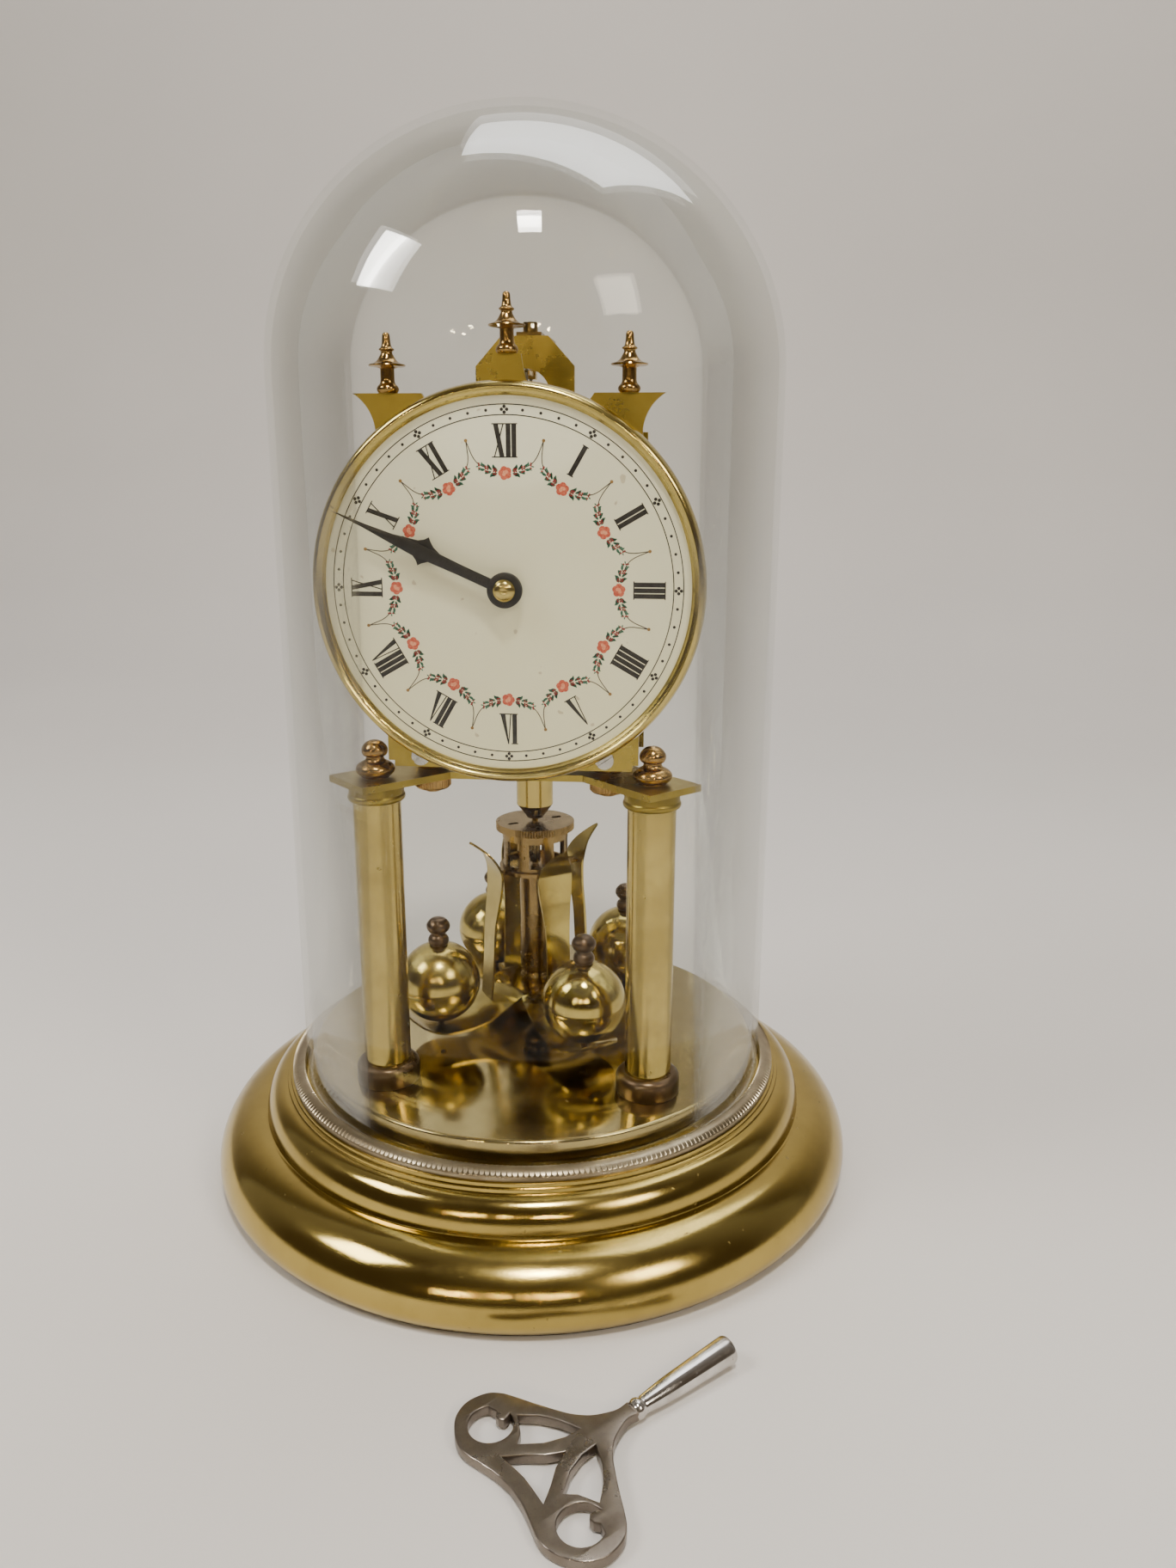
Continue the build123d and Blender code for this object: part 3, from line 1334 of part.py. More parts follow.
pin_bottom = flower_top - 8.8
ball_top = ball_z + ball_radius
with BuildPart() as balls:
    with Locations(*[(x, y + hang_back, ball_z) for x, y in ball_spots]):
        Sphere(ball_radius)
    with BuildSketch(hanging(ball_z - ball_radius)):
        with Locations(*ball_spots):
            Circle(pin_radius)
    extrude(amount=2 * ball_radius, mode=Mode.SUBTRACT)
    for spot in ball_spots:
        with BuildSketch(hanging(ball_top - 0.35)):
            with Locations(spot):
                Circle(knob_radius)
        extrude(amount=1.0, mode=Mode.SUBTRACT)
finish(balls.part, "balls")

knob_z = ball_top - 0.35
with BuildPart() as ball_screws:
    for x, y in ball_spots:
        with BuildSketch(upright(x, -y - hang_back)):
            with BuildLine():
                Line((0, knob_z), (2.6, knob_z))
                ThreePointArc((2.6, knob_z), (3.1, knob_z + 1.5), (2.6, knob_z + 2.9))
                Polyline((2.6, knob_z + 2.9), (2.2, knob_z + 3.1), (2.2, knob_z + 3.8),
                         (2.7, knob_z + 4.1))
                ThreePointArc((2.7, knob_z + 4.1), (knob_radius, knob_z + 5.8),
                              (2.6, knob_z + knob_height - 0.9))
                Spline((2.6, knob_z + knob_height - 0.9), (0, knob_z + knob_height),
                       tangents=[(-1, 0.6), (-1, 0)])
                Line((0, knob_z + knob_height), (0, knob_z))
            make_face()
        revolve(axis=Axis((x, y + hang_back, 0), (0, 0, 1)))
    with BuildSketch(hanging(pin_bottom)):
        with Locations(*ball_spots):
            Circle(pin_radius)
    extrude(amount=knob_z - pin_bottom)
finish(ball_screws.part, "ball_screws")

petal_tip = plate_top + petal_tip_rise
arm_foot_z = flower_top - 2.6
arm_path = [(arm_foot_radius, arm_foot_z), (arm_pivot_radius + 1.8, arm_foot_z + 22),
            (arm_pivot_radius + 0.4, arm_foot_z + 32), (arm_pivot_radius, cage_bottom + 0.6),
            (arm_pivot_radius + 1.6, cage_bottom + 5), (petal_tip_radius, petal_tip)]


def swan_arm(angle):
    """One bent arm, its petal outward, at this angle about the pendulum's axis."""
    with BuildPart() as one:
        with BuildSketch(upright(0, -hang_back, angle)):
            with BuildLine():
                half = arm_thickness / 2
                outer = [(r + half, z) for r, z in arm_path]
                inner = [(r - half, z) for r, z in reversed(arm_path)]
                Polyline(*outer, *inner, close=True)
            make_face()
        extrude(amount=petal_width, both=True)
        across = Plane(origin=(0, hang_back, 0), x_dir=(-sin(radians(angle)), cos(radians(angle)), 0),
                       z_dir=(cos(radians(angle)), sin(radians(angle)), 0))
        with BuildSketch(across):
            with BuildLine():
                for side in (-1, 1):
                    Polyline((0, arm_foot_z), (side * arm_width / 2, arm_foot_z),
                             (side * arm_width / 2, cage_bottom - 14))
                    Spline((side * arm_width / 2, cage_bottom - 14),
                           (side * petal_width / 2, cage_bottom),
                           (side * petal_width / 4, petal_tip - 3.4), (0, petal_tip))
            make_face()
        extrude(amount=2 * petal_tip_radius, mode=Mode.INTERSECT)
    return one.part


with BuildPart() as swan_arms:
    for angle in arm_angles:
        add(swan_arm(angle))
finish(swan_arms.part, "swan_arms")

# ================================================================ winding key
# Half outlines along the key: x is negative from the neck to the bow's far edge.
key_outline = [(0, 2.0), (-2.5, 1.7), (-5.5, 2.8), (-8.5, 4.5), (-11.3, 7.4), (-13.6, 11.1),
               (-16.0, 15.4), (-18.0, 19.2), (-19.8, 22.0), (-22.5, 24.0), (-27.0, 24.6),
               (-31.0, 22.8), (-33.5, 19.5), (-key_end, 16.0), (-key_end, 12.7), (-33.9, 9.0),
               (-32.8, 4.5), (-32.3, 0)]
window_corners = ((-20.5, 14.4), (-12.2, 2.6), (-25.2, 8.1))
window_outer = ((-17.0, 11.1), (-14.3, 7.3))
window_inner = ((-16.1, 3.0), (-20.4, 4.6))
window_back = (-22.6, 10.1)
triangle_side = [(-29.4, 7.5), (-25.8, 5.0), (-22.0, 1.9), (-18.1, 0)]
triangle_back = [(-29.4, 7.5), (-28.8, 2.5), (-28.8, -2.5), (-29.4, -7.5)]
hook_root = ((-20.6, 14.6), (-23.6, 15.1), (-23.6, 17.9), (-21.4, 18.6))


def flipped(points, side):
    """Points of the key's bow on one side of its axis."""
    return [(x, side * y) for x, y in points]


key_rise = key_barrel_radius - key_plate_thickness / 2
key_tilt = atan2(key_rise, key_barrel_length + key_end)
neck_z = key_plate_thickness / 2 + key_end * sin(key_tilt)
key_along = (cos(radians(key_angle)) * cos(key_tilt), sin(radians(key_angle)) * cos(key_tilt),
             sin(key_tilt))
key_up = (-cos(radians(key_angle)) * sin(key_tilt), -sin(radians(key_angle)) * sin(key_tilt),
          cos(key_tilt))
key_plane = Plane(origin=(key_x, -key_forward, neck_z), x_dir=key_along, z_dir=key_up)
barrel_end = Plane(origin=(key_x + key_barrel_length * key_along[0],
                           -key_forward + key_barrel_length * key_along[1],
                           neck_z + key_barrel_length * key_along[2]),
                   x_dir=key_up, z_dir=key_along)
with BuildPart() as winding_key:
    with BuildSketch(key_plane):
        with BuildLine():
            for side in (-1, 1):
                Spline(*flipped(key_outline, side))
            Line((0, -2.0), (0, 2.0))
        make_face()
        for side in (-1, 1):
            with Locations(flipped([key_eye], side)[0]):
                Circle(key_eye_radius, mode=Mode.SUBTRACT)
            with BuildLine():
                outer_end, tip, back_end = flipped(window_corners, side)
                Spline(outer_end, *flipped(window_outer, side), tip)
                Spline(tip, *flipped(window_inner, side), back_end)
                Spline(back_end, *flipped([window_back], side), outer_end)
            make_face(mode=Mode.SUBTRACT)
            with BuildLine():
                Polyline(*flipped(hook_root, side), close=True)
            make_face()
            with Locations(flipped([(-23.8, 16.5)], side)[0]):
                Circle(key_hook_radius)
        with BuildLine():
            for side in (-1, 1):
                Spline(*flipped(triangle_side, side))
            Spline(*triangle_back)
        make_face(mode=Mode.SUBTRACT)
    extrude(amount=key_plate_thickness / 2, both=True)
    with BuildSketch(barrel_end):
        Circle(key_barrel_radius)
    with BuildSketch(barrel_end.offset(key_waist - key_barrel_length)):
        Circle(key_waist_radius)
    loft()
    with BuildSketch(barrel_end.offset(key_waist - key_barrel_length)):
        Circle(key_waist_radius)
    with BuildSketch(barrel_end.offset(-key_barrel_length)):
        Circle(key_neck_radius)
    loft()
    with BuildSketch(barrel_end):
        Rectangle(winding_square + 2 * bolt_gap, winding_square + 2 * bolt_gap)
    extrude(amount=-key_socket_depth, mode=Mode.SUBTRACT)
finish(winding_key.part, "winding_key")
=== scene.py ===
"""A torsion-pendulum clock under a glass dome, and its key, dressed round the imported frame."""

import logging
import math
from dataclasses import dataclass
from enum import Enum

import bmesh
import bpy
from mathutils import Matrix, Vector

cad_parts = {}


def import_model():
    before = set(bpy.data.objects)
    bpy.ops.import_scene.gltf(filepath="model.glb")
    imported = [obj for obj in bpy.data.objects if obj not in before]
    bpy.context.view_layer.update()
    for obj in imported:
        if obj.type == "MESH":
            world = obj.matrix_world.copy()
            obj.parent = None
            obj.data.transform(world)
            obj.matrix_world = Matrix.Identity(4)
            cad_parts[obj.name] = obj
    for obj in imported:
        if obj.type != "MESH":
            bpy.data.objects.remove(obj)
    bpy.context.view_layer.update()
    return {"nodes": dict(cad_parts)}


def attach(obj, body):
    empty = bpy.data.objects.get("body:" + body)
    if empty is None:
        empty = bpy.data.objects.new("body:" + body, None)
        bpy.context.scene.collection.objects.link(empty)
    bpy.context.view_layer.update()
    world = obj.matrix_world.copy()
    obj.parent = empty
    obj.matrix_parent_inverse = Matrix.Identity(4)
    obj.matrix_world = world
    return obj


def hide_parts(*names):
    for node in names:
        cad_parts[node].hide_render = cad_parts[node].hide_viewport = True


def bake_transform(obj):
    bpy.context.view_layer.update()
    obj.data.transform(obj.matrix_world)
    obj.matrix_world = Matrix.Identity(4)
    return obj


LOG = logging.getLogger("clock")
MM = 0.001
Pair = tuple[float, float]
Triple = tuple[float, float, float]
Colour = tuple[float, float, float]

# Where the clock's main parts stand, in millimetres.
LEDGE_TOP = 29.6
PLATE_TOP = 36.9
COLLAR_BOTTOM = 118.0
SEAT_BOTTOM = 122.5
SEAT_TOP = 124.3
DIAL_Z = 174.0
PILLAR_X = 36.4
PILLAR_Y = -35.5
HANG_Y = 6.0
DIAL_FRONT = 40.5


class Body(str, Enum):
    """The moving groups of the clock that pieces ride on."""

    FRAME = "frame"
    DOME = "dome"
    KEY = "key"
    CENTRE = "centre"
    HOUR = "hour"
    PENDULUM = "pendulum"
    REGULATOR = "regulator"


class Turn(Enum):
    """Which way a turned piece's axis points."""

    UP = "up"
    FORWARD = "forward"


class LampKind(Enum):
    """The two kinds of studio lamp."""

    PANEL = "AREA"
    BULB = "POINT"


# ------------------------------------------------------------------ shader tools
class Wire:
    """A shader socket that does its sums with Python's operators."""

    def __init__(self, recipe: "Recipe", socket: bpy.types.NodeSocket) -> None:
        """Wrap one output socket of a recipe's tree."""
        self.recipe = recipe
        self.socket = socket

    def _sum(self, operation: str, first: object, second: object) -> "Wire":
        """Add one Math node."""
        return self.recipe.node("ShaderNodeMath", {"operation": operation}, {0: first, 1: second})

    def __add__(self, other: object) -> "Wire":
        """Self plus other."""
        return self._sum("ADD", self, other)

    __radd__ = __add__

    def __sub__(self, other: object) -> "Wire":
        """Self minus other."""
        return self._sum("SUBTRACT", self, other)

    def __rsub__(self, other: object) -> "Wire":
        """Other minus self."""
        return self._sum("SUBTRACT", other, self)

    def __mul__(self, other: object) -> "Wire":
        """Self times other."""
        return self._sum("MULTIPLY", self, other)

    __rmul__ = __mul__

    def band(self, low: float, high: float) -> "Wire":
        """Self stretched so that low becomes 0 and high becomes 1, and held there."""
        settings = {"clamp": True}
        sockets = {"Value": self, "From Min": low, "From Max": high}
        return self.recipe.node("ShaderNodeMapRange", settings, sockets)


class Recipe:
    """One material and the few ways it is put together."""

    def __init__(self, name: str) -> None:
        """Start a material with an empty Principled shader."""
        self.material = bpy.data.materials.new(name)
        self.material.use_nodes = True
        self.tree = self.material.node_tree
        self.shader = next(n for n in self.tree.nodes if n.type == "BSDF_PRINCIPLED")
        self.output = next(n for n in self.tree.nodes if n.type == "OUTPUT_MATERIAL")
        coords = self.tree.nodes.new("ShaderNodeTexCoord")
        self.place = Wire(self, coords.outputs["Object"])

    def node(self, kind: str, settings: dict | None = None, sockets: dict | None = None,
             output: int = 0) -> Wire:
        """Add one node.

        Args:
            kind: The node's type.
            settings: Its properties.
            sockets: Values or wires for its inputs, by name or number.
            output: Which output the wire comes from.

        Returns:
            The wire from the chosen output.
        """
        made = self.tree.nodes.new(kind)
        for key, value in (settings or {}).items():
            setattr(made, key, value)
        for key, value in (sockets or {}).items():
            self._feed(made.inputs[key], value)
        return Wire(self, made.outputs[output])

    def _feed(self, socket: bpy.types.NodeSocket, value: object) -> None:
        """Link a wire into a socket, or set its value."""
        if isinstance(value, Wire):
            self.tree.links.new(value.socket, socket)
        elif isinstance(value, tuple) and socket.type == "RGBA":
            socket.default_value = (*value, 1.0)
        else:
            socket.default_value = value

    def stretched(self, scale: Triple) -> Wire:
        """The piece's own coordinates, stretched along its axes."""
        return self.node("ShaderNodeMapping", {}, {"Vector": self.place, "Scale": scale})

    def noise(self, scale: float, detail: float = 4.0, rough: float = 0.6,
              at: Wire | None = None) -> Wire:
        """Soft noise from 0 to 1 at this many features a metre."""
        sockets = {"Vector": at or self.place, "Scale": scale, "Detail": detail, "Roughness": rough}
        return self.node("ShaderNodeTexNoise", {}, sockets)

    def mix(self, factor: object, first: object, second: object) -> Wire:
        """Blend two colours."""
        return self.node("ShaderNodeMix", {"data_type": "RGBA"},
                         {0: factor, 6: first, 7: second}, output=2)

    def bump(self, height: Wire, distance: float, strength: float = 1.0) -> Wire:
        """A bumped normal, its distance in metres."""
        return self.node("ShaderNodeBump", {},
                         {"Height": height, "Distance": distance, "Strength": strength})

    def shade(self, sockets: dict) -> bpy.types.Material:
        """Set the shader's own sockets and hand over the material."""
        for key, value in sockets.items():
            self._feed(self.shader.inputs[key], value)
        return self.material


# ------------------------------------------------------------------ finishes
@dataclass(frozen=True)
class Brass:
    """Polished brass under old lacquer: clouded colour, brown specks and fine polishing lines."""

    name: str
    bright: Colour
    worn: Colour
    dirt: Colour = (0.045, 0.028, 0.014)
    rough: float = 0.14
    cloud: float = 45.0
    cloud_share: float = 0.6
    speck: float = 0.5
    speck_size: float = 420.0
    grain: Triple = (1.0, 1.0, 1.0)
    grain_depth: float = 0.00002

    def make(self) -> bpy.types.Material:
        """Build the material."""
        recipe = Recipe(self.name)
        clouds = recipe.noise(self.cloud, 6.0, 0.62).band(0.38, 0.66)
        patches = recipe.noise(self.cloud * 0.35, 3.0, 0.5).band(0.45, 0.65)
        dots = recipe.noise(self.speck_size, 2.0, 0.55)
        fields = recipe.noise(self.cloud * 0.8, 3.0, 0.6).band(0.40, 0.75)
        specks = dots.band(0.70, 0.76) * (fields * 0.8 + 0.2) * self.speck
        lines = recipe.noise(900.0, 3.0, 0.6, recipe.stretched(self.grain))
        colour = recipe.mix(clouds * self.cloud_share, self.bright, self.worn)
        colour = recipe.mix(patches * (self.cloud_share * 0.4), colour, self.worn)
        colour = recipe.mix(specks, colour, self.dirt)
        height = lines - specks * 2.0
        return recipe.shade({
            "Base Color": colour,
            "Metallic": 1.0 - specks * 0.5,
            "Roughness": clouds * 0.12 + lines * 0.06 + specks * 0.35 + self.rough,
            "Normal": recipe.bump(height, self.grain_depth, 0.6),
        })


@dataclass(frozen=True)
class Steel:
    """Polished or nickelled steel with worn, smudged patches."""

    name: str
    bright: Colour
    worn: Colour
    rough: float = 0.2
    cloud: float = 120.0

    def make(self) -> bpy.types.Material:
        """Build the material."""
        recipe = Recipe(self.name)
        clouds = recipe.noise(self.cloud, 5.0, 0.6).band(0.36, 0.68)
        fine = recipe.noise(1600.0, 3.0, 0.6)
        pits = recipe.noise(2600.0, 1.0, 0.5).band(0.70, 0.78)
        colour = recipe.mix(clouds, self.bright, self.worn)
        colour = recipe.mix(pits * 0.6, colour, (0.05, 0.045, 0.04))
        return recipe.shade({
            "Base Color": colour,
            "Metallic": 1.0 - pits * 0.3,
            "Roughness": clouds * 0.16 + fine * 0.05 + self.rough,
            "Normal": recipe.bump(fine - pits, 0.000012, 0.5),
        })


@dataclass(frozen=True)
class Glaze:
    """Fired porcelain: cream, faintly mottled, warmer towards its foot, glossy."""

    name: str
    pale: Colour
    warm: Colour

    def make(self) -> bpy.types.Material:
        """Build the material."""
        recipe = Recipe(self.name)
        split = recipe.node("ShaderNodeSeparateXYZ", {}, {"Vector": recipe.place}, output=2)
        lower = 1.0 - split.band((DIAL_Z - 45) * MM, (DIAL_Z + 45) * MM)
        mottle = recipe.noise(60.0, 4.0, 0.6)
        fine = recipe.noise(1400.0, 2.0, 0.5)
        flecks = recipe.noise(330.0, 1.0, 0.5).band(0.765, 0.80)
        colour = recipe.mix(lower * 0.65 + mottle * 0.35, self.pale, self.warm)
        colour = recipe.mix(flecks * 0.5, colour, (0.42, 0.33, 0.2))
        return recipe.shade({
            "Base Color": colour,
            "Roughness": mottle * 0.10 + 0.16,
            "Coat Weight": 0.6,
            "Coat Roughness": 0.06,
            "Normal": recipe.bump(fine, 0.000008, 0.4),
        })


@dataclass(frozen=True)
class Paint:
    """Fired or baked colour with a slight unevenness, such as the dial's printing or the hands."""

    name: str
    colour: Colour
    shade: Colour
    rough: float = 0.35
    scale: float = 900.0
    metal: float = 0.0

    def make(self) -> bpy.types.Material:
        """Build the material."""
        recipe = Recipe(self.name)
        mottle = recipe.noise(self.scale, 3.0, 0.6)
        return recipe.shade({
            "Base Color": recipe.mix(mottle.band(0.35, 0.7), self.colour, self.shade),
            "Metallic": self.metal,
            "Roughness": mottle * 0.2 + self.rough,
            "Normal": recipe.bump(mottle, 0.00001, 0.4),
        })


@dataclass(frozen=True)
class DomeGlass:
    """Clear blown glass: it shows what is behind it and mirrors more at its edges."""

    name: str
    tint: Colour = (0.965, 0.968, 0.955)

    def make(self) -> bpy.types.Material:
        """Build the material."""
        recipe = Recipe(self.name)
        waves = recipe.noise(14.0, 2.0, 0.4)
        smears = recipe.noise(30.0, 4.0, 0.6, recipe.stretched((1.0, 1.0, 0.35))).band(0.45, 0.8)
        normal = recipe.bump(waves, 0.0006, 0.5)
        facing = recipe.node("ShaderNodeFresnel", {}, {"IOR": 1.42, "Normal": normal})
        recipe.shade({
            "Base Color": (0.98, 0.985, 0.98),
            "Metallic": 1.0,
            "Roughness": smears * 0.05 + 0.02,
            "Normal": normal,
        })
        clear = recipe.node("ShaderNodeBsdfTransparent", {}, {"Color": self.tint})
        factor = facing * 0.40 + smears * 0.006
        blend = recipe.node("ShaderNodeMixShader", {},
                            {0: factor, 1: clear, 2: Wire(recipe, recipe.shader.outputs[0])})
        recipe.tree.links.new(blend.socket, recipe.output.inputs["Surface"])
        return recipe.material


class Finishes:
    """Every finish of the clock, made once."""

    def __init__(self) -> None:
        """Build the materials."""
        self.base = Brass("spun_base_brass", (0.53, 0.40, 0.115), (0.31, 0.225, 0.06), rough=0.07,
                          cloud=28.0, speck=0.75, grain=(1.0, 1.0, 6.0)).make()
        self.gallery = Brass("reeded_gallery_brass", (0.40, 0.34, 0.23), (0.16, 0.12, 0.07),
                             rough=0.24, cloud=90.0, speck=0.5).make()
        self.mirror = Brass("mirror_plate_brass", (0.55, 0.45, 0.21), (0.34, 0.265, 0.11),
                            rough=0.06, cloud=38.0, speck=0.6).make()
        self.pillar = Brass("pillar_brass", (0.60, 0.475, 0.16), (0.40, 0.30, 0.085), rough=0.11,
                            cloud=55.0, speck=0.9, grain=(1.0, 1.0, 0.08)).make()
        self.dark = Brass("tarnished_brass", (0.20, 0.135, 0.08), (0.07, 0.045, 0.03), rough=0.22,
                          cloud=110.0, speck=0.5).make()
        self.red = Brass("red_turned_brass", (0.47, 0.30, 0.10), (0.24, 0.14, 0.05), rough=0.10,
                         cloud=130.0, speck=0.4, grain=(1.0, 1.0, 9.0)).make()
        self.plate = Brass("satin_plate_brass", (0.45, 0.345, 0.075), (0.28, 0.205, 0.04),
                           rough=0.22, cloud=60.0, speck=0.4, grain=(0.1, 1.0, 1.0)).make()
        self.train = Brass("wheel_brass", (0.80, 0.60, 0.27), (0.60, 0.44, 0.18), rough=0.2,
                           speck=0.2).make()
        self.bezel = Brass("bright_bezel_brass", (0.65, 0.52, 0.18), (0.42, 0.32, 0.095),
                           rough=0.08, cloud=70.0, cloud_share=0.4, speck=0.35).make()
        self.pendulum = Brass("pendulum_brass", (0.60, 0.48, 0.15), (0.36, 0.265, 0.075),
                              rough=0.08, cloud=60.0, speck=0.5, grain=(1.0, 1.0, 7.0)).make()
        self.aged = Brass("aged_pendulum_brass", (0.34, 0.235, 0.09), (0.14, 0.09, 0.04),
                          rough=0.16, cloud=120.0, speck=0.5).make()
        self.steel = Steel("polished_steel", (0.60, 0.59, 0.57), (0.38, 0.37, 0.35)).make()
        self.nickel = Steel("worn_nickel", (0.26, 0.225, 0.19), (0.15, 0.125, 0.10), 0.22,
                            90.0).make()
        self.bright_nickel = Steel("bright_nickel", (0.74, 0.72, 0.69), (0.44, 0.40, 0.36), 0.08,
                                   90.0).make()
        # Felt pad under the base, coloured near-black as painted shadow under the base's rim.
        self.felt = Paint("felt_and_painted_shadow", (0.035, 0.032, 0.026), (0.02, 0.018, 0.015), 0.8,
                          2500.0).make()
        self.glaze = Glaze("cream_glaze", (0.93, 0.935, 0.79), (0.89, 0.87, 0.57)).make()
        self.ink = Paint("dial_ink", (0.012, 0.011, 0.012), (0.03, 0.028, 0.03), 0.3).make()
        self.swag = Paint("swag_line", (0.06, 0.05, 0.045), (0.12, 0.10, 0.07), 0.35).make()
        self.gilt = Paint("cusp_gilt", (0.34, 0.20, 0.06), (0.22, 0.12, 0.04), 0.35).make()
        self.rose = Paint("rose_red", (0.52, 0.06, 0.035), (0.70, 0.20, 0.12), 0.35, 2500.0).make()
        self.rose_heart = Paint("rose_heart", (0.85, 0.42, 0.26), (0.72, 0.22, 0.12), 0.35,
                                3000.0).make()
        self.leaf = Paint("leaf_green", (0.025, 0.13, 0.085), (0.07, 0.22, 0.15), 0.35,
                          1800.0).make()
        self.berry = Paint("berry_red", (0.36, 0.03, 0.04), (0.25, 0.03, 0.035), 0.35).make()
        self.black = Paint("blacked_steel", (0.010, 0.010, 0.011), (0.022, 0.021, 0.022), 0.22,
                           700.0, 0.2).make()
        self.glass = DomeGlass("dome_glass").make()


# ------------------------------------------------------------------ mesh tools
def bow(start: Pair, end: Pair, bulge: float, steps: int = 8) -> list[Pair]:
    """Points of a shallow arc between two points.

    Args:
        start: Where it starts.
        end: Where it ends.
        bulge: How far its middle stands to the right of the way from start to end.
        steps: How many runs it has.

    Returns:
        Its points, both ends included.
    """
    across, along = end[0] - start[0], end[1] - start[1]
    length = math.hypot(across, along) or 1.0
    points = []
    for step in range(steps + 1):
        share = step / steps
        out = 4.0 * bulge * share * (1.0 - share)
        points.append((start[0] + across * share + out * along / length,
                       start[1] + along * share - out * across / length))
    return points


def quarter(centre: Pair, wide: float, high: float, steps: int = 16) -> list[Pair]:
    """A quarter ellipse from straight out to straight up."""
    return [(centre[0] + wide * math.cos(math.pi / 2 * s / steps),
             centre[1] + high * math.sin(math.pi / 2 * s / steps)) for s in range(steps + 1)]


def chain(points: list[Pair], steps: int = 6) -> list[Pair]:
    """A smooth curve through the points."""
    ends = [points[0], *points, points[-1]]
    out = []
    for i in range(1, len(ends) - 2):
        a, b, c, d = (Vector(ends[i + k]) for k in (-1, 0, 1, 2))
        for step in range(steps):
            t = step / steps
            p = 0.5 * (2 * b + (c - a) * t + (2 * a - 5 * b + 4 * c - d) * t * t
                       + (3 * b - a - 3 * c + d) * t ** 3)
            out.append(tuple(p))
    out.append(tuple(points[-1]))
    return out


def soften(points: list[Pair], radius: float, closed: bool = True) -> list[Pair]:
    """Round every sharp corner of an outline.

    Args:
        points: The outline.
        radius: How far back from a corner the rounding starts.
        closed: Whether the last point meets the first.

    Returns:
        The outline with three points at each corner that turns more than 25 degrees.
    """
    count = len(points)
    out = []
    for i, point in enumerate(points):
        if not closed and i in (0, count - 1):
            out.append(point)
            continue
        here = Vector(point)
        back = Vector(points[i - 1]) - here
        on = Vector(points[(i + 1) % count]) - here
        if back.length < 1e-9 or on.length < 1e-9 or back.angle(-on, 0.0) < math.radians(25):
            out.append(point)
            continue
        cut = min(radius, 0.4 * back.length, 0.4 * on.length)
        first, last = here + back.normalized() * cut, here + on.normalized() * cut
        out += [tuple(first), tuple(0.25 * (first + last) + 0.5 * here), tuple(last)]
    return out


def finished(name: str, mesh: bpy.types.Mesh, material: bpy.types.Material, body: Body | None,
             stands_for: tuple[str, ...] = (), sharp: float = 32.0) -> bpy.types.Object:
    """Put a mesh in the scene as one finished piece.

    Args:
        name: The piece's name.
        mesh: Its mesh, in metres and in place.
        material: Its finish.
        body: What it rides on, or none when it hangs between two bodies.
        stands_for: The frame's nodes that it replaces.
        sharp: The angle in degrees past which an edge stays sharp.

    Returns:
        The new object.
    """
    mesh.materials.clear()
    mesh.materials.append(material)
    for face in mesh.polygons:
        face.use_smooth = True
    mesh.set_sharp_from_angle(angle=math.radians(sharp))
    piece = bpy.data.objects.new(name, mesh)
    bpy.context.scene.collection.objects.link(piece)
    if stands_for:
        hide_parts(*stands_for)
    if body:
        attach(piece, body.value)
    LOG.info("%s: %d faces", name, len(mesh.polygons))
    return piece


def cleaned(mesh: bpy.types.Mesh, merge: float, thinnest: float = 0.0) -> bpy.types.Mesh:
    """Close a mesh's seams and turn its faces outward.

    Args:
        mesh: The mesh, which is changed.
        merge: Points closer than this, in metres, become one.
        thinnest: Edges shorter than this, in metres, go; 0 keeps all.

    Returns:
        The same mesh.
    """
    work = bmesh.new()
    work.from_mesh(mesh)
    bmesh.ops.remove_doubles(work, verts=work.verts, dist=merge)
    if thinnest:
        bmesh.ops.dissolve_degenerate(work, edges=work.edges, dist=thinnest)
    bmesh.ops.recalc_face_normals(work, faces=work.faces)
    work.to_mesh(mesh)
    work.free()
    return mesh


def mesh_of(name: str, verts: list, faces: list, merge: float = 1e-7,
            thinnest: float = 0.0) -> bpy.types.Mesh:
    """A cleaned mesh from points in millimetres."""
    mesh = bpy.data.meshes.new(name)
    mesh.from_pydata([tuple(c * MM for c in v) for v in verts], [], faces)
    return cleaned(mesh, merge, thinnest)


def lathe(name: str, outline: list[Pair], centres: list[Triple], way: Turn = Turn.UP,
          steps: int = 96) -> bpy.types.Mesh:
    """Turn a closed half outline about one or more axes.

    Args:
        name: The mesh's name.
        outline: Radius and distance along the axis, round the solid's half section.
        centres: A point on each axis.
        way: Which way the axes point.
        steps: How many faces go round.

    Returns:
        The closed mesh.
    """
    verts, faces = [], []
    count = len(outline)
    for cx, cy, cz in centres:
        base = len(verts)
        for step in range(steps):
            angle = 2 * math.pi * step / steps
            c, s = math.cos(angle), math.sin(angle)
            for r, h in outline:
                r = max(r, 0.0)
                if way is Turn.UP:
                    verts.append((cx + r * c, cy + r * s, cz + h))
                else:
                    verts.append((cx + r * c, cy - h, cz + r * s))
        for step in range(steps):
            a, b = base + step * count, base + (step + 1) % steps * count
            for i in range(count):
                j = (i + 1) % count
                if outline[i][0] <= 0 and outline[j][0] <= 0:
                    continue
                faces.append((a + i, b + i, b + j, a + j))
    return mesh_of(name, verts, faces, 2e-7, 1e-8)


def turned(name: str, outline: list[Pair], centres: list[Triple], material: bpy.types.Material,
           body: Body, stands_for: tuple[str, ...] = (), sharp: float = 32.0,
           way: Turn = Turn.UP, steps: int = 96) -> bpy.types.Object:
    """Turn an outline and put it in the scene; the arguments are those of lathe and finished."""
    mesh = lathe(name, outline, centres, way, steps)
    return finished(name, mesh, material, body, stands_for, sharp)


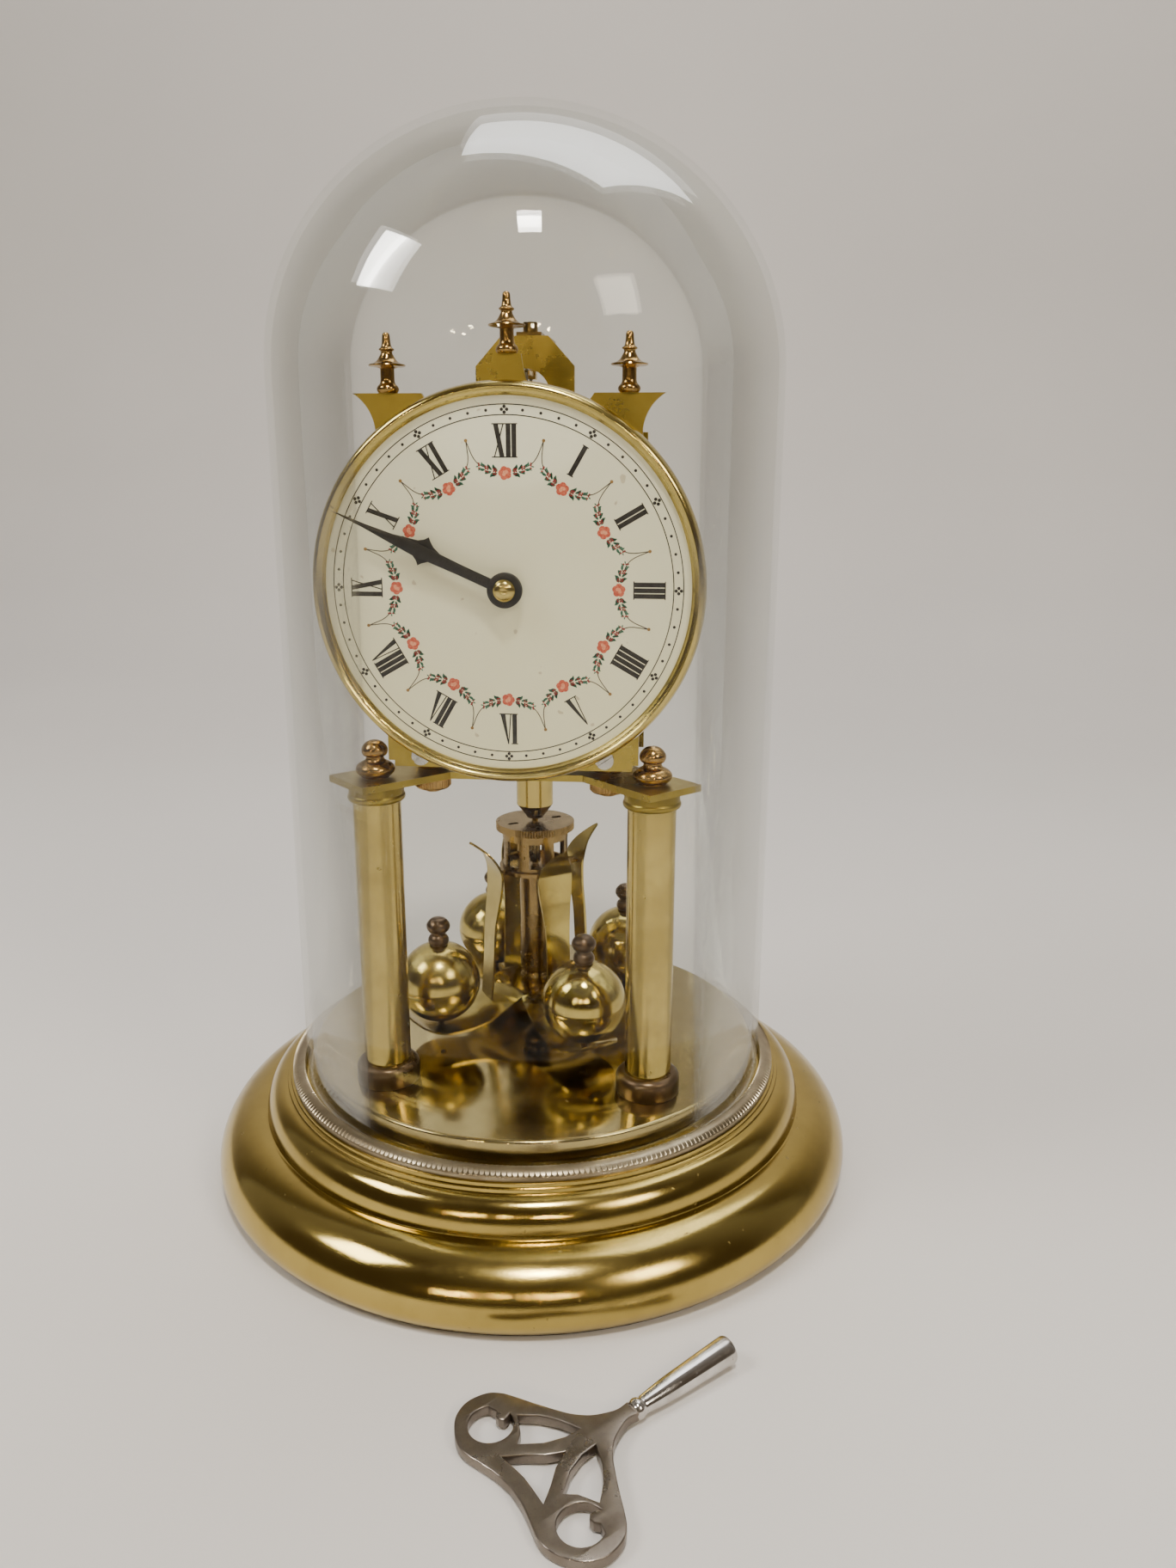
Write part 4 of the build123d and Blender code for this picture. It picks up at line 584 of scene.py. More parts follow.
def prism(outline: list[Pair], depth: float, base: float = 0.0) -> tuple[list, list]:
    """Points and faces of a flat shape raised from base by depth, its face along +Z."""
    count = len(outline)
    verts = [(x, y, base) for x, y in outline] + [(x, y, base + depth) for x, y in outline]
    faces = [tuple(reversed(range(count))), tuple(range(count, 2 * count))]
    faces += [(i, (i + 1) % count, (i + 1) % count + count, i + count) for i in range(count)]
    return verts, faces


def joined(parts: list[tuple[list, list]]) -> tuple[list, list]:
    """Several sets of points and faces as one."""
    verts, faces = [], []
    for some_verts, some_faces in parts:
        base = len(verts)
        verts += some_verts
        faces += [tuple(base + i for i in face) for face in some_faces]
    return verts, faces


def moved(part: tuple[list, list], place: Matrix) -> tuple[list, list]:
    """A set of points and faces, its points moved."""
    return [tuple(place @ Vector(v)) for v in part[0]], part[1]


def disc(radius: float, sides: int, at: Pair = (0.0, 0.0), turn: float = 0.0) -> list[Pair]:
    """The corners of a regular outline."""
    return [(at[0] + radius * math.cos(turn + 2 * math.pi * k / sides),
             at[1] + radius * math.sin(turn + 2 * math.pi * k / sides)) for k in range(sides)]


def on_dial(forward: float) -> Matrix:
    """The place, in millimetres, of a drawing whose +Z faces forward off the dial."""
    return Matrix.Translation((0.0, -forward, DIAL_Z)) @ Matrix.Rotation(math.pi / 2, 4, "X")


def ring_tree() -> bpy.types.NodeTree:
    """The geometry tree that copies a small shape round a circle, turned with it."""
    tree = bpy.data.node_groups.new("ring_of_copies", "GeometryNodeTree")
    face = tree.interface
    for name, kind in (("Geometry", "NodeSocketGeometry"), ("Shape", "NodeSocketObject"),
                       ("Count", "NodeSocketInt"), ("Radius", "NodeSocketFloat"),
                       ("Start", "NodeSocketFloat"), ("Finish", "NodeSocketMaterial")):
        face.new_socket(name, in_out="INPUT", socket_type=kind)
    face.new_socket("Geometry", in_out="OUTPUT", socket_type="NodeSocketGeometry")
    make = tree.nodes.new
    link = tree.links.new
    given, result = make("NodeGroupInput"), make("NodeGroupOutput")
    line = make("GeometryNodeMeshLine")
    link(given.outputs["Count"], line.inputs["Count"])
    line.inputs["Offset"].default_value = (0.0, 0.0, 0.0)
    index = make("GeometryNodeInputIndex")
    share = make("ShaderNodeMath")
    share.operation = "DIVIDE"
    link(index.outputs[0], share.inputs[0])
    link(given.outputs["Count"], share.inputs[1])
    angle = make("ShaderNodeMath")
    angle.operation = "MULTIPLY_ADD"
    angle.inputs[1].default_value = 2 * math.pi
    link(share.outputs[0], angle.inputs[0])
    link(given.outputs["Start"], angle.inputs[2])
    spin = make("ShaderNodeCombineXYZ")
    link(angle.outputs[0], spin.inputs["Z"])
    reach = make("ShaderNodeCombineXYZ")
    link(given.outputs["Radius"], reach.inputs["X"])
    turned = make("ShaderNodeVectorRotate")
    turned.rotation_type = "Z_AXIS"
    link(reach.outputs[0], turned.inputs["Vector"])
    link(angle.outputs[0], turned.inputs["Angle"])
    place = make("GeometryNodeSetPosition")
    link(line.outputs[0], place.inputs["Geometry"])
    link(turned.outputs[0], place.inputs["Position"])
    shape = make("GeometryNodeObjectInfo")
    link(given.outputs["Shape"], shape.inputs["Object"])
    copies = make("GeometryNodeInstanceOnPoints")
    link(place.outputs[0], copies.inputs["Points"])
    link(shape.outputs["Geometry"], copies.inputs["Instance"])
    link(spin.outputs[0], copies.inputs["Rotation"])
    real = make("GeometryNodeRealizeInstances")
    link(copies.outputs[0], real.inputs[0])
    dress = make("GeometryNodeSetMaterial")
    link(real.outputs[0], dress.inputs["Geometry"])
    link(given.outputs["Finish"], dress.inputs["Material"])
    link(dress.outputs[0], result.inputs[0])
    return tree


class Ring:
    """Makes rings of copies with one shared geometry tree."""

    def __init__(self) -> None:
        """Build the tree."""
        self.tree = ring_tree()

    def copies(self, name: str, shape: tuple[list, list], count: int, radius: float, start: float,
               place: Matrix, material: bpy.types.Material, body: Body) -> bpy.types.Object:
        """A ring of copies as one finished piece.

        Args:
            name: The piece's name.
            shape: Points and faces of one copy, in millimetres, +X outward.
            count: How many go round.
            radius: The ring's radius in millimetres.
            start: The first copy's angle in radians.
            place: Where the ring lies, in millimetres.
            material: Its finish.
            body: What it rides on.

        Returns:
            The new object.
        """
        seed = bpy.data.objects.new(name + "_shape", mesh_of(name + "_shape", *shape))
        host = bpy.data.objects.new(name + "_host", bpy.data.meshes.new(name + "_host"))
        for thing in (seed, host):
            bpy.context.scene.collection.objects.link(thing)
        modifier = host.modifiers.new("ring", "NODES")
        modifier.node_group = self.tree
        values = {"Shape": seed, "Count": count, "Radius": radius * MM, "Start": start,
                  "Finish": material}
        for item in self.tree.interface.items_tree:
            if item.in_out == "INPUT" and item.name in values:
                modifier[item.identifier] = values[item.name]
        bpy.context.view_layer.update()
        graph = bpy.context.evaluated_depsgraph_get()
        mesh = bpy.data.meshes.new_from_object(host.evaluated_get(graph))
        host.modifiers.remove(modifier)
        bpy.data.objects.remove(host)
        bpy.data.objects.remove(seed)
        inner = Matrix.Diagonal((MM, MM, MM, 1.0)) @ place @ Matrix.Diagonal((1 / MM,) * 3 + (1.0,))
        mesh.transform(inner)
        mesh.update()
        return finished(name, mesh, material, body)


def dress(nodes: dict, names: tuple[str, ...], material: bpy.types.Material) -> None:
    """Give frame nodes that stay visible their finish."""
    for name in names:
        piece = nodes[name]
        piece.data.materials.clear()
        piece.data.materials.append(material)
        LOG.info("%s dressed in %s", name, material.name)


# ------------------------------------------------------------------ sub-assemblies
@dataclass
class Base:
    """The moulded round base, its reeded gallery and its raised mirror plate."""

    finishes: Finishes
    ring: Ring
    rim: float = 92.5
    widest: float = 95.0
    widest_z: float = 5.5
    waist: float = 81.2
    step_z: float = 18.8
    lip: float = 74.3
    lip_z: float = 27.6
    ridges: int = 320

    def build(self, nodes: dict) -> None:
        """Make the base's pieces."""
        outer = [(self.rim, 1.0), *bow((self.rim, 1.0), (self.widest, self.widest_z), 0.45, 6)[1:],
                 *quarter((self.waist, self.widest_z), self.widest - self.waist,
                          self.step_z - self.widest_z, 20)[1:],
                 (self.waist - 0.6, self.step_z),
                 *quarter((self.lip, self.step_z), self.waist - 0.6 - self.lip,
                          self.lip_z - self.step_z, 14)[1:],
                 (self.lip, self.lip_z + 1.0), (self.lip - 1.0, self.lip_z + 1.0),
                 (self.lip - 1.0, LEDGE_TOP), (60.0, LEDGE_TOP), (60.0, 28.6), (72.3, 28.6),
                 (73.2, 26.6), (79.6, 17.8), (80.2, 17.8), (88.0, 15.5), (93.9, 5.6), (91.6, 1.0)]
        axis = [(0.0, 0.0, 0.0)]
        turned("base_moulding", soften(outer, 0.25), axis, self.finishes.base, Body.FRAME,
               ("base_shell",), 28.0, steps=192)
        gallery = [(69.0, LEDGE_TOP), (72.7, LEDGE_TOP), (72.6, 30.9),
                   *bow((72.6, 30.9), (69.3, 32.3), 0.45, 6)[1:], (69.0, 32.0)]
        turned("gallery_body", soften(gallery, 0.2), axis, self.finishes.gallery, Body.FRAME,
               ("gallery_ring",), steps=192)
        ridge = [(-1.78, -0.5), *bow((-1.78, 2.35), (1.72, 1.35), 0.0, 4), (1.84, -0.5)]
        section = [(x, z + LEDGE_TOP + 0.25) for x, z in ridge[1:-1]]
        verts = []
        for x, z in section:
            rise = 0.32 * (1.0 - (x / 1.9) ** 2)
            verts += [(x, -0.42, z - 0.12), (x, 0.0, z + rise + 0.1), (x, 0.42, z - 0.12)]
        faces = [(3 * i + k, 3 * i + k + 1, 3 * i + k + 4, 3 * i + k + 3)
                 for i in range(len(section) - 1) for k in range(2)]
        faces += [(3 * i, 3 * i + 3, 3 * i + 5, 3 * i + 2) for i in range(len(section) - 1)]
        last = 3 * (len(section) - 1)
        faces += [(0, 2, 1), (last, last + 1, last + 2)]
        self.ring.copies("gallery_reeds", (verts, faces), self.ridges, 70.9, 0.0,
                         Matrix.Identity(4), self.finishes.gallery, Body.FRAME)
        plate = [(0.0, PLATE_TOP), (64.8, PLATE_TOP),
                 *bow((64.8, PLATE_TOP), (65.8, PLATE_TOP - 1.0), -0.3, 5)[1:],
                 (65.8, LEDGE_TOP), (65.0, LEDGE_TOP), (65.0, PLATE_TOP - 0.8),
                 (0.0, PLATE_TOP - 0.8)]
        turned("mirror_top", plate, axis, self.finishes.mirror, Body.FRAME, ("mirror_plate",),
               steps=160)
        # The felt pad under the base gets the near-black felt colour, painted shadow under the rim.
        dress(nodes, ("base_felt",), self.finishes.felt)
        dress(nodes, ("base_nuts", "pillar_rods"), self.finishes.steel)


@dataclass
class GlassDome:
    """The blown glass dome that lifts off the base."""

    finishes: Finishes
    radius: float = 68.2
    wall: float = 1.8
    foot: float = 29.7
    spring: float = 226.2
    crown: float = 64.7

    def build(self) -> None:
        """Make the dome as one closed shell."""
        outer = quarter((0.0, self.spring), self.radius, self.crown, 36)
        inner = quarter((0.0, self.spring), self.radius - self.wall, self.crown - self.wall, 36)
        foot = bow((self.radius - self.wall, self.foot + 0.6), (self.radius, self.foot + 0.6),
                   0.6, 6)
        outline = [*foot, *outer, *reversed(inner)]
        turned("blown_dome", outline, [(0.0, 0.0, 0.0)], self.finishes.glass, Body.DOME,
               ("glass_dome",), 60.0, steps=160)


@dataclass
class Pillars:
    """The two pillars with their feet, collars and turned nuts."""

    finishes: Finishes

    def build(self) -> None:
        """Make the pillars' pieces."""
        spots = [(-PILLAR_X, PILLAR_Y, 0.0), (PILLAR_X, PILLAR_Y, 0.0)]
        low = PLATE_TOP
        foot = [(1.6, low), (8.7, low), (8.7, low + 3.6),
                *bow((8.7, low + 3.6), (7.2, low + 6.0), 0.55, 6)[1:], (6.4, low + 6.0),
                (1.6, low + 6.0)]
        turned("pillar_foot_rings", soften(foot, 0.25), spots, self.finishes.dark, Body.FRAME,
               ("pillar_feet",))
        tube = [(5.65, low + 6.0), (6.35, low + 6.0), (6.35, COLLAR_BOTTOM),
                (5.65, COLLAR_BOTTOM)]
        turned("pillar_tubes", tube, spots, self.finishes.pillar, Body.FRAME, ("pillars",))
        z = COLLAR_BOTTOM
        collar = [(1.6, z), (6.9, z), *bow((6.9, z), (7.6, z + 1.1), 0.2, 4)[1:],
                  *bow((7.6, z + 1.1), (7.25, z + 1.9), 0.12, 3)[1:], (7.25, SEAT_BOTTOM),
                  (1.6, SEAT_BOTTOM)]
        turned("collar_caps", soften(collar, 0.12), spots, self.finishes.plate, Body.FRAME,
               ("pillar_collars",))
        z = SEAT_TOP
        nut = [(0.0, z), (3.7, z), (3.7, z + 0.35), *bow((4.1, z + 0.5), (4.1, z + 3.7), 1.05, 12),
               *bow((3.4, z + 4.1), (2.35, z + 5.5), -0.35, 6), (2.6, z + 5.75), (3.0, z + 5.8),
               *bow((3.05, z + 5.85), (2.9, z + 8.5), 0.5, 8),
               *bow((2.9, z + 8.5), (0.0, z + 9.8), 0.45, 8)[1:]]
        turned("turned_nuts", soften(nut, 0.08, False), spots, self.finishes.red, Body.FRAME,
               ("acorn_nuts",), 38.0)


@dataclass
class Movement:
    """The seat, plates, posts, screws, wheels and suspension of the movement."""

    finishes: Finishes
    ring: Ring
    nut_x: float = 24.0
    nut_y: float = -23.0
    nut_ribs: int = 42
    strip_low: float = 112.7
    strip_high: float = 230.9
    strip_half: Pair = (0.4, 0.07)
    twist_start: float = 225.0
    twist_end: float = 119.0

    def build(self, nodes: dict) -> None:
        """Dress the movement and make its turned pieces."""
        kit = self.finishes
        dress(nodes, ("seat_plate", "front_plate", "back_plate", "plate_posts", "lower_posts",
                      "suspension_bracket"), kit.plate)
        dress(nodes, ("seat_studs",), kit.red)
        dress(nodes, ("plate_screws", "frame_screws", "minute_stud", "winding_arbor", "click",
                      "anchor", "anchor_arbor", "anchor_pin", "cannon_pinion"), kit.steel)
        dress(nodes, ("first_wheel", "second_wheel", "centre_wheel", "third_wheel",
                      "escape_wheel", "barrel", "barrel_cover", "ratchet_wheel", "minute_wheel",
                      "hour_wheel", "fork", "top_block", "pendulum_stem"), kit.train)
        dress(nodes, ("hanger_screw",), kit.aged)
        dress(nodes, ("guard_tube",), kit.pillar)
        dress(nodes, ("guard_cone",), kit.dark)
        spots = [(-self.nut_x, self.nut_y, 0.0), (self.nut_x, self.nut_y, 0.0)]
        z = SEAT_BOTTOM
        nut = [(2.1, z - 4.2), (3.9, z - 4.2), *bow((3.9, z - 4.2), (4.75, z - 3.4), 0.2, 4)[1:],
               (4.75, z - 0.6), (4.4, z), (2.1, z)]
        turned("thumb_nut_bodies", soften(nut, 0.1), spots, kit.red, Body.FRAME, ("thumb_nuts",))
        rib = prism([(-0.3, -0.24), (0.12, -0.2), (0.22, 0.0), (0.12, 0.2), (-0.3, 0.24)], 2.9,
                    z - 3.45)
        for spot, side in zip(spots, ("left", "right")):
            self.ring.copies(f"thumb_nut_ribs_{side}", rib, self.nut_ribs, 4.75, 0.0,
                             Matrix.Translation(spot), kit.red, Body.FRAME)
        self.strip()

    def strip(self) -> None:
        """Make the thin suspension strip, straight and untwisted, tied to no body."""
        rows = 60
        half, thin = self.strip_half
        verts, faces = [], []
        for row in range(rows + 1):
            z = self.strip_low + (self.strip_high - self.strip_low) * row / rows
            verts += [(x, HANG_Y + y, z) for x, y in
                      ((-half, -thin), (half, -thin), (half, thin), (-half, thin))]
        for row in range(rows):
            a = 4 * row
            faces += [(a + k, a + (k + 1) % 4, a + 4 + (k + 1) % 4, a + 4 + k) for k in range(4)]
        faces += [(3, 2, 1, 0), tuple(4 * rows + k for k in range(4))]
        piece = finished("twist_strip", mesh_of("twist_strip", verts, faces), self.finishes.steel,
                         None, ("suspension_strip",))
        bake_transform(piece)


class Glyph:
    """Draws one hour's numeral from thick and thin strokes."""

    BAR = 1.14
    HAIR = 0.28
    GAP = 0.24
    HEIGHT = 7.9
    WIDTHS = {"I": 1.14, "V": 2.8, "X": 2.9}

    def __init__(self, text: str) -> None:
        """Take the numeral's letters."""
        self.text = text

    def strokes(self) -> list[list[Pair]]:
        """The outlines of its strokes, its middle at the origin and its top along +Y."""
        total = sum(self.WIDTHS[c] for c in self.text) + self.GAP * (len(self.text) - 1)
        top, x = self.HEIGHT / 2, -total / 2
        shapes: list[list[Pair]] = []
        runs: list[list[float]] = []
        for letter in self.text:
            wide = self.WIDTHS[letter]
            if letter == "I":
                shapes.append([(x, -top), (x + wide, -top), (x + wide, top), (x, top)])
                runs.append([x, x + wide, -top])
            elif letter == "V":
                foot = x + 0.72 * wide
                shapes.append([(foot - 0.12, -top), (foot + 0.12, -top), (x + self.BAR + 0.1, top),
                               (x, top)])
                shapes.append([(foot - 0.1, -top), (foot + 0.12, -top), (x + wide, top),
                               (x + wide - self.HAIR, top)])
            else:
                shapes.append([(x + wide - self.BAR - 0.1, -top), (x + wide - 0.1, -top),
                               (x + self.BAR + 0.1, top), (x + 0.1, top)])
                shapes.append([(x + 0.2, -top), (x + 0.2 + self.HAIR, -top),
                               (x + wide - 0.2, top), (x + wide - 0.2 - self.HAIR, top)])
                runs.append([x, x + wide, -top])
            runs.append([x, x + wide, top])
            x += wide + self.GAP
        for left, right, level in runs:
            thick = -0.26 if level > 0 else 0.26
            shapes.append([(left - 0.28, level), (right + 0.28, level),
                           (right + 0.28, level + thick), (left - 0.28, level + thick)])
        return [self.outward(shape) for shape in shapes]

    @staticmethod
    def outward(shape: list[Pair]) -> list[Pair]:
        """The outline with its corners in counterclockwise order."""
        area = sum(a[0] * b[1] - b[0] * a[1] for a, b in zip(shape, shape[1:] + shape[:1]))
        return shape if area > 0 else shape[::-1]


@dataclass
class Dial:
    """The porcelain dial with its numerals, minute track and rose garlands."""

    finishes: Finishes
    ring: Ring
    ink_depth: float = 0.03
    numeral_radius: float = 35.1
    rose_radius: float = 27.6
    cusp_radius: float = 36.3
    track: Pair = (41.0, 43.4)
    dot_radius: float = 42.2
    upright_hours: tuple[int, ...] = (4, 5, 6, 7, 8)
    numerals: tuple[str, ...] = ("XII", "I", "II", "III", "IIII", "V", "VI", "VII", "VIII", "IX",
                                 "X", "XI")

    def build(self, nodes: dict) -> None:
        """Dress the dial and lay its printing on it."""
        dress(nodes, ("dial",), self.finishes.glaze)
        self.print_numerals()
        self.print_track()
        self.print_garlands()

    def laid(self, name: str, part: tuple[list, list], material: bpy.types.Material) -> None:
        """Lay one flat drawing on the dial."""
        placed = moved(part, on_dial(DIAL_FRONT))
        finished(name, mesh_of(name, *placed), material, Body.FRAME)

    def print_numerals(self) -> None:
        """Print the twelve hours: the lower five stand upright, the others foot inward."""
        parts = []
        for hour, text in enumerate(self.numerals):
            turn = -math.radians(30 * hour)
            place = Matrix.Rotation(turn, 4, "Z") @ Matrix.Translation((0, self.numeral_radius, 0))
            if hour in self.upright_hours:
                place = place @ Matrix.Rotation(math.pi, 4, "Z")
            for k, stroke in enumerate(Glyph(text).strokes()):
                parts.append(moved(prism(stroke, self.ink_depth + 0.001 * k), place))
        self.laid("dial_numerals", joined(parts), self.finishes.ink)

    def circle(self, radius: float, width: float, sides: int = 180) -> tuple[list, list]:
        """A thin printed circle."""
        verts, faces = [], []
        for k in range(sides):
            c, s = math.cos(2 * math.pi * k / sides), math.sin(2 * math.pi * k / sides)
            for r in (radius - width / 2, radius + width / 2):
                verts += [(r * c, r * s, 0.0), (r * c, r * s, self.ink_depth)]
            a, b = 4 * k, 4 * ((k + 1) % sides)
            faces += [(a + 1, a + 3, b + 3, b + 1), (a, b, b + 2, a + 2), (a, a + 1, b + 1, b),
                      (a + 2, b + 2, b + 3, a + 3)]
        return verts, faces

    def print_track(self) -> None:
        """Print the minute circles, dots and four-dot marks."""
        inner, outer = self.track
        rings = joined([self.circle(outer, 0.24), self.circle(inner, 0.24)])
        self.laid("minute_circles", rings, self.finishes.ink)
        place = on_dial(DIAL_FRONT)
        reach = self.dot_radius
        dots = joined([prism(disc(0.37, 10, (reach * math.cos(a) - reach, reach * math.sin(a))),
                             self.ink_depth) for a in
                       (math.radians(6 * k) for k in range(1, 5))])
        self.ring.copies("minute_dots", dots, 12, reach, math.pi / 2, place, self.finishes.ink,
                         Body.FRAME)
        mark = joined([prism(disc(0.42, 10, spot), self.ink_depth) for spot in
                       ((0.64, 0.0), (-0.64, 0.0), (0.0, 0.64), (0.0, -0.64))])
        self.ring.copies("five_minute_marks", mark, 12, reach, math.pi / 2, place,
                         self.finishes.ink, Body.FRAME)

    def swag_point(self, degrees: float) -> Pair:
        """A point of the leaf string, this far round from its rose; +X is outward."""
        lift = (abs(degrees) / 11.5) ** 2 * 2.1
        radius = self.rose_radius + lift
        angle = math.radians(degrees)
        return (radius * math.cos(angle) - self.rose_radius, radius * math.sin(angle))

    def print_garlands(self) -> None:
        """Print twelve roses, each with a string of leaves and berries up to two cusps."""
        lines, leaves, berries = [], [], []
        for side in (-1, 1):
            polar = [(self.cusp_radius, 15.0), (34.4, 14.6), (32.6, 14.1), (31.2, 13.2),
                     (30.3, 12.0), (29.6, 10.4), (29.0, 8.6)]
            path = chain([(r * math.cos(math.radians(a)) - self.rose_radius,
                           side * r * math.sin(math.radians(a))) for r, a in polar], 4)
            for a, b in zip(path, path[1:]):
                run = Vector(b) - Vector(a)
                off = Vector((-run.y, run.x)).normalized() * 0.11
                on = run.normalized() * 0.02
                corners = [Vector(a) - off - on, Vector(b) - off + on, Vector(b) + off + on,
                           Vector(a) + off - on]
                lines.append(prism([tuple(c) for c in corners], self.ink_depth))
            for k in range(10):
                at = 3.4 + 0.95 * k
                here = Vector(self.swag_point(side * at))
                ahead = Vector(self.swag_point(side * (at + 0.5))) - here
                for flank in (-1, 1):
                    lean = math.atan2(ahead.y, ahead.x) + flank * math.radians(38 + 14 * (k % 3))
                    size = (1.75 - 0.09 * k) * (1.0 if (k + flank) % 2 else 0.8)
                    base = here + Vector((math.cos(lean), math.sin(lean))) * 0.22
                    leaf = [(0.0, 0.0), (0.25, -0.2), (0.6, -0.22), (1.0, 0.0), (0.6, 0.22),
                            (0.25, 0.2)]
                    turned = Matrix.Translation((*base, 0)) @ Matrix.Rotation(lean, 4, "Z")
                    flat = prism([(x * size, y * size) for x, y in leaf],
                                 self.ink_depth + 0.002 * flank)
                    leaves.append(moved(flat, turned))
                if k % 4 in (1, 2):
                    for out in (-0.5, 0.1, 0.6):
                        spot = here + Vector((out, 0.12 * side))
                        berries.append(prism(disc(0.24, 6, tuple(spot)), self.ink_depth + 0.006))
        half_hour = math.radians(15)
        tip = (self.cusp_radius * math.cos(half_hour) - self.rose_radius,
               self.cusp_radius * math.sin(half_hour))
        cusps = [prism(disc(0.42, 10, tip), self.ink_depth + 0.008)]
        petals = [prism(disc(0.86, 9, (0.82 * math.cos(a), 0.82 * math.sin(a))),
                        self.ink_depth + 0.008 + 0.002 * k) for k, a in
                  enumerate(2 * math.pi * j / 5 + 0.3 for j in range(5))]
        hearts = [prism(disc(0.46, 8, spot), self.ink_depth + 0.022 + 0.002 * k) for k, spot in
                  enumerate(((0.12, 0.1), (-0.34, 0.22), (0.28, -0.32)))]
        place = on_dial(DIAL_FRONT)
        kit = self.finishes
        for name, parts, finish in (
                ("swag_lines", lines, kit.swag), ("swag_leaves", leaves, kit.leaf),
                ("swag_berries", berries, kit.berry), ("swag_cusps", cusps, kit.gilt),
                ("roses", petals, kit.rose), ("rose_hearts", hearts, kit.rose_heart)):
            self.ring.copies(name, joined(parts), 12, self.rose_radius, math.pi / 2, place,
                             finish, Body.FRAME)


@dataclass
class Bezel:
    """The polished ring round the dial."""

    finishes: Finishes

    def build(self) -> None:
        """Turn the bezel."""
        outline = [(46.7, 36.6), (48.1, 36.6), *bow((48.1, 36.6), (48.95, 38.3), 0.2, 4)[1:],
                   *bow((48.95, 38.3), (48.6, 41.2), 0.18, 5)[1:],
                   *bow((48.6, 41.2), (47.2, 42.55), 0.32, 6)[1:],
                   *bow((47.2, 42.55), (46.1, 41.9), -0.1, 4)[1:], (45.75, 41.2),
                   (45.4, 40.9), (45.4, 40.5), (46.7, 40.5)]
        turned("bezel_ring", soften(outline, 0.08), [(0.0, 0.0, DIAL_Z)], self.finishes.bezel,
               Body.FRAME, ("bezel",), 38.0, Turn.FORWARD, 192)


@dataclass
class Hands:
    """The black hands and the nut that holds them."""

    finishes: Finishes
    hour_angle: float = 294.5
    minute_angle: float = 294.0

    def blade(self, name: str, stations: list[tuple[float, float, float]], angle: float,
              back: float, node: str, body: Body) -> None:
        """Make one ridged hand.

        Args:
            name: The piece's name.
            stations: Distance out, half width and ridge height along the hand.
            angle: Its clock angle in degrees.
            back: How far forward its back lies.
            node: The frame's node that it replaces.
            body: What it rides on.
        """
        verts, faces = [], []
        for out, half, ridge in stations:
            verts += [(-half, out, 0.0), (half, out, 0.0), (half, out, 0.2), (0.0, out, ridge),
                      (-half, out, 0.2)]
        for i in range(len(stations) - 1):
            a, b = 5 * i, 5 * (i + 1)
            faces += [(a + k, a + (k + 1) % 5, b + (k + 1) % 5, b + k) for k in range(5)]
        last = 5 * (len(stations) - 1)
        faces += [(0, 4, 3, 2, 1), tuple(last + k for k in range(5))]
        place = on_dial(back) @ Matrix.Rotation(-math.radians(angle), 4, "Z")
        mesh = mesh_of(name, *moved((verts, faces), place))
        finished(name, mesh, self.finishes.black, body, (node,), 20.0)

    def build(self) -> None:
        """Make both hands, their hubs and the nut."""
        shoulder = 22.0
        spade = [(2.6, 0.95, 0.38), (9.0, 0.85, 0.38), (15.0, 0.8, 0.38), (18.0, 1.1, 0.38),
                 (20.0, 1.9, 0.38), (21.3, 2.9, 0.38), (shoulder, 3.7, 0.38), (22.8, 2.75, 0.38),
                 (24.2, 1.9, 0.38), (26.4, 1.45, 0.36), (30.0, 0.75, 0.33), (33.0, 0.25, 0.26),
                 (34.1, 0.05, 0.22)]
        self.blade("hour_blade", spade, self.hour_angle, 42.9, "hour_hand", Body.HOUR)
        long = [(2.6, 1.3, 0.4), (12.0, 1.3, 0.4), (24.0, 1.6, 0.4), (31.0, 1.05, 0.38),
                (37.4, 0.5, 0.34), (42.0, 0.3, 0.28), (46.1, 0.06, 0.22)]
        self.blade("minute_blade", long, self.minute_angle, 44.2, "minute_hand", Body.CENTRE)
        centre = [(0.0, 0.0, DIAL_Z)]
        for name, back, front, bore, body in (("hour_hub", 42.9, 43.3, 2.5, Body.HOUR),
                                              ("minute_hub", 44.2, 44.6, 1.6, Body.CENTRE)):
            hub = [(bore, back), (4.3, back), (4.3, front - 0.1), (4.05, front), (bore, front)]
            turned(name, soften(hub, 0.06), centre, self.finishes.black, body,
                   way=Turn.FORWARD, steps=72)
        nut = [(0.0, 45.0), (0.8, 44.6), (2.7, 44.6), (2.7, 45.05),
               *bow((2.6, 45.15), (0.75, 46.15), 0.28, 8), (0.55, 45.95), (0.0, 45.9)]
        turned("hand_cap", soften(nut, 0.06, False), centre, self.finishes.bezel, Body.CENTRE,
               ("hand_nut",), way=Turn.FORWARD, steps=64)


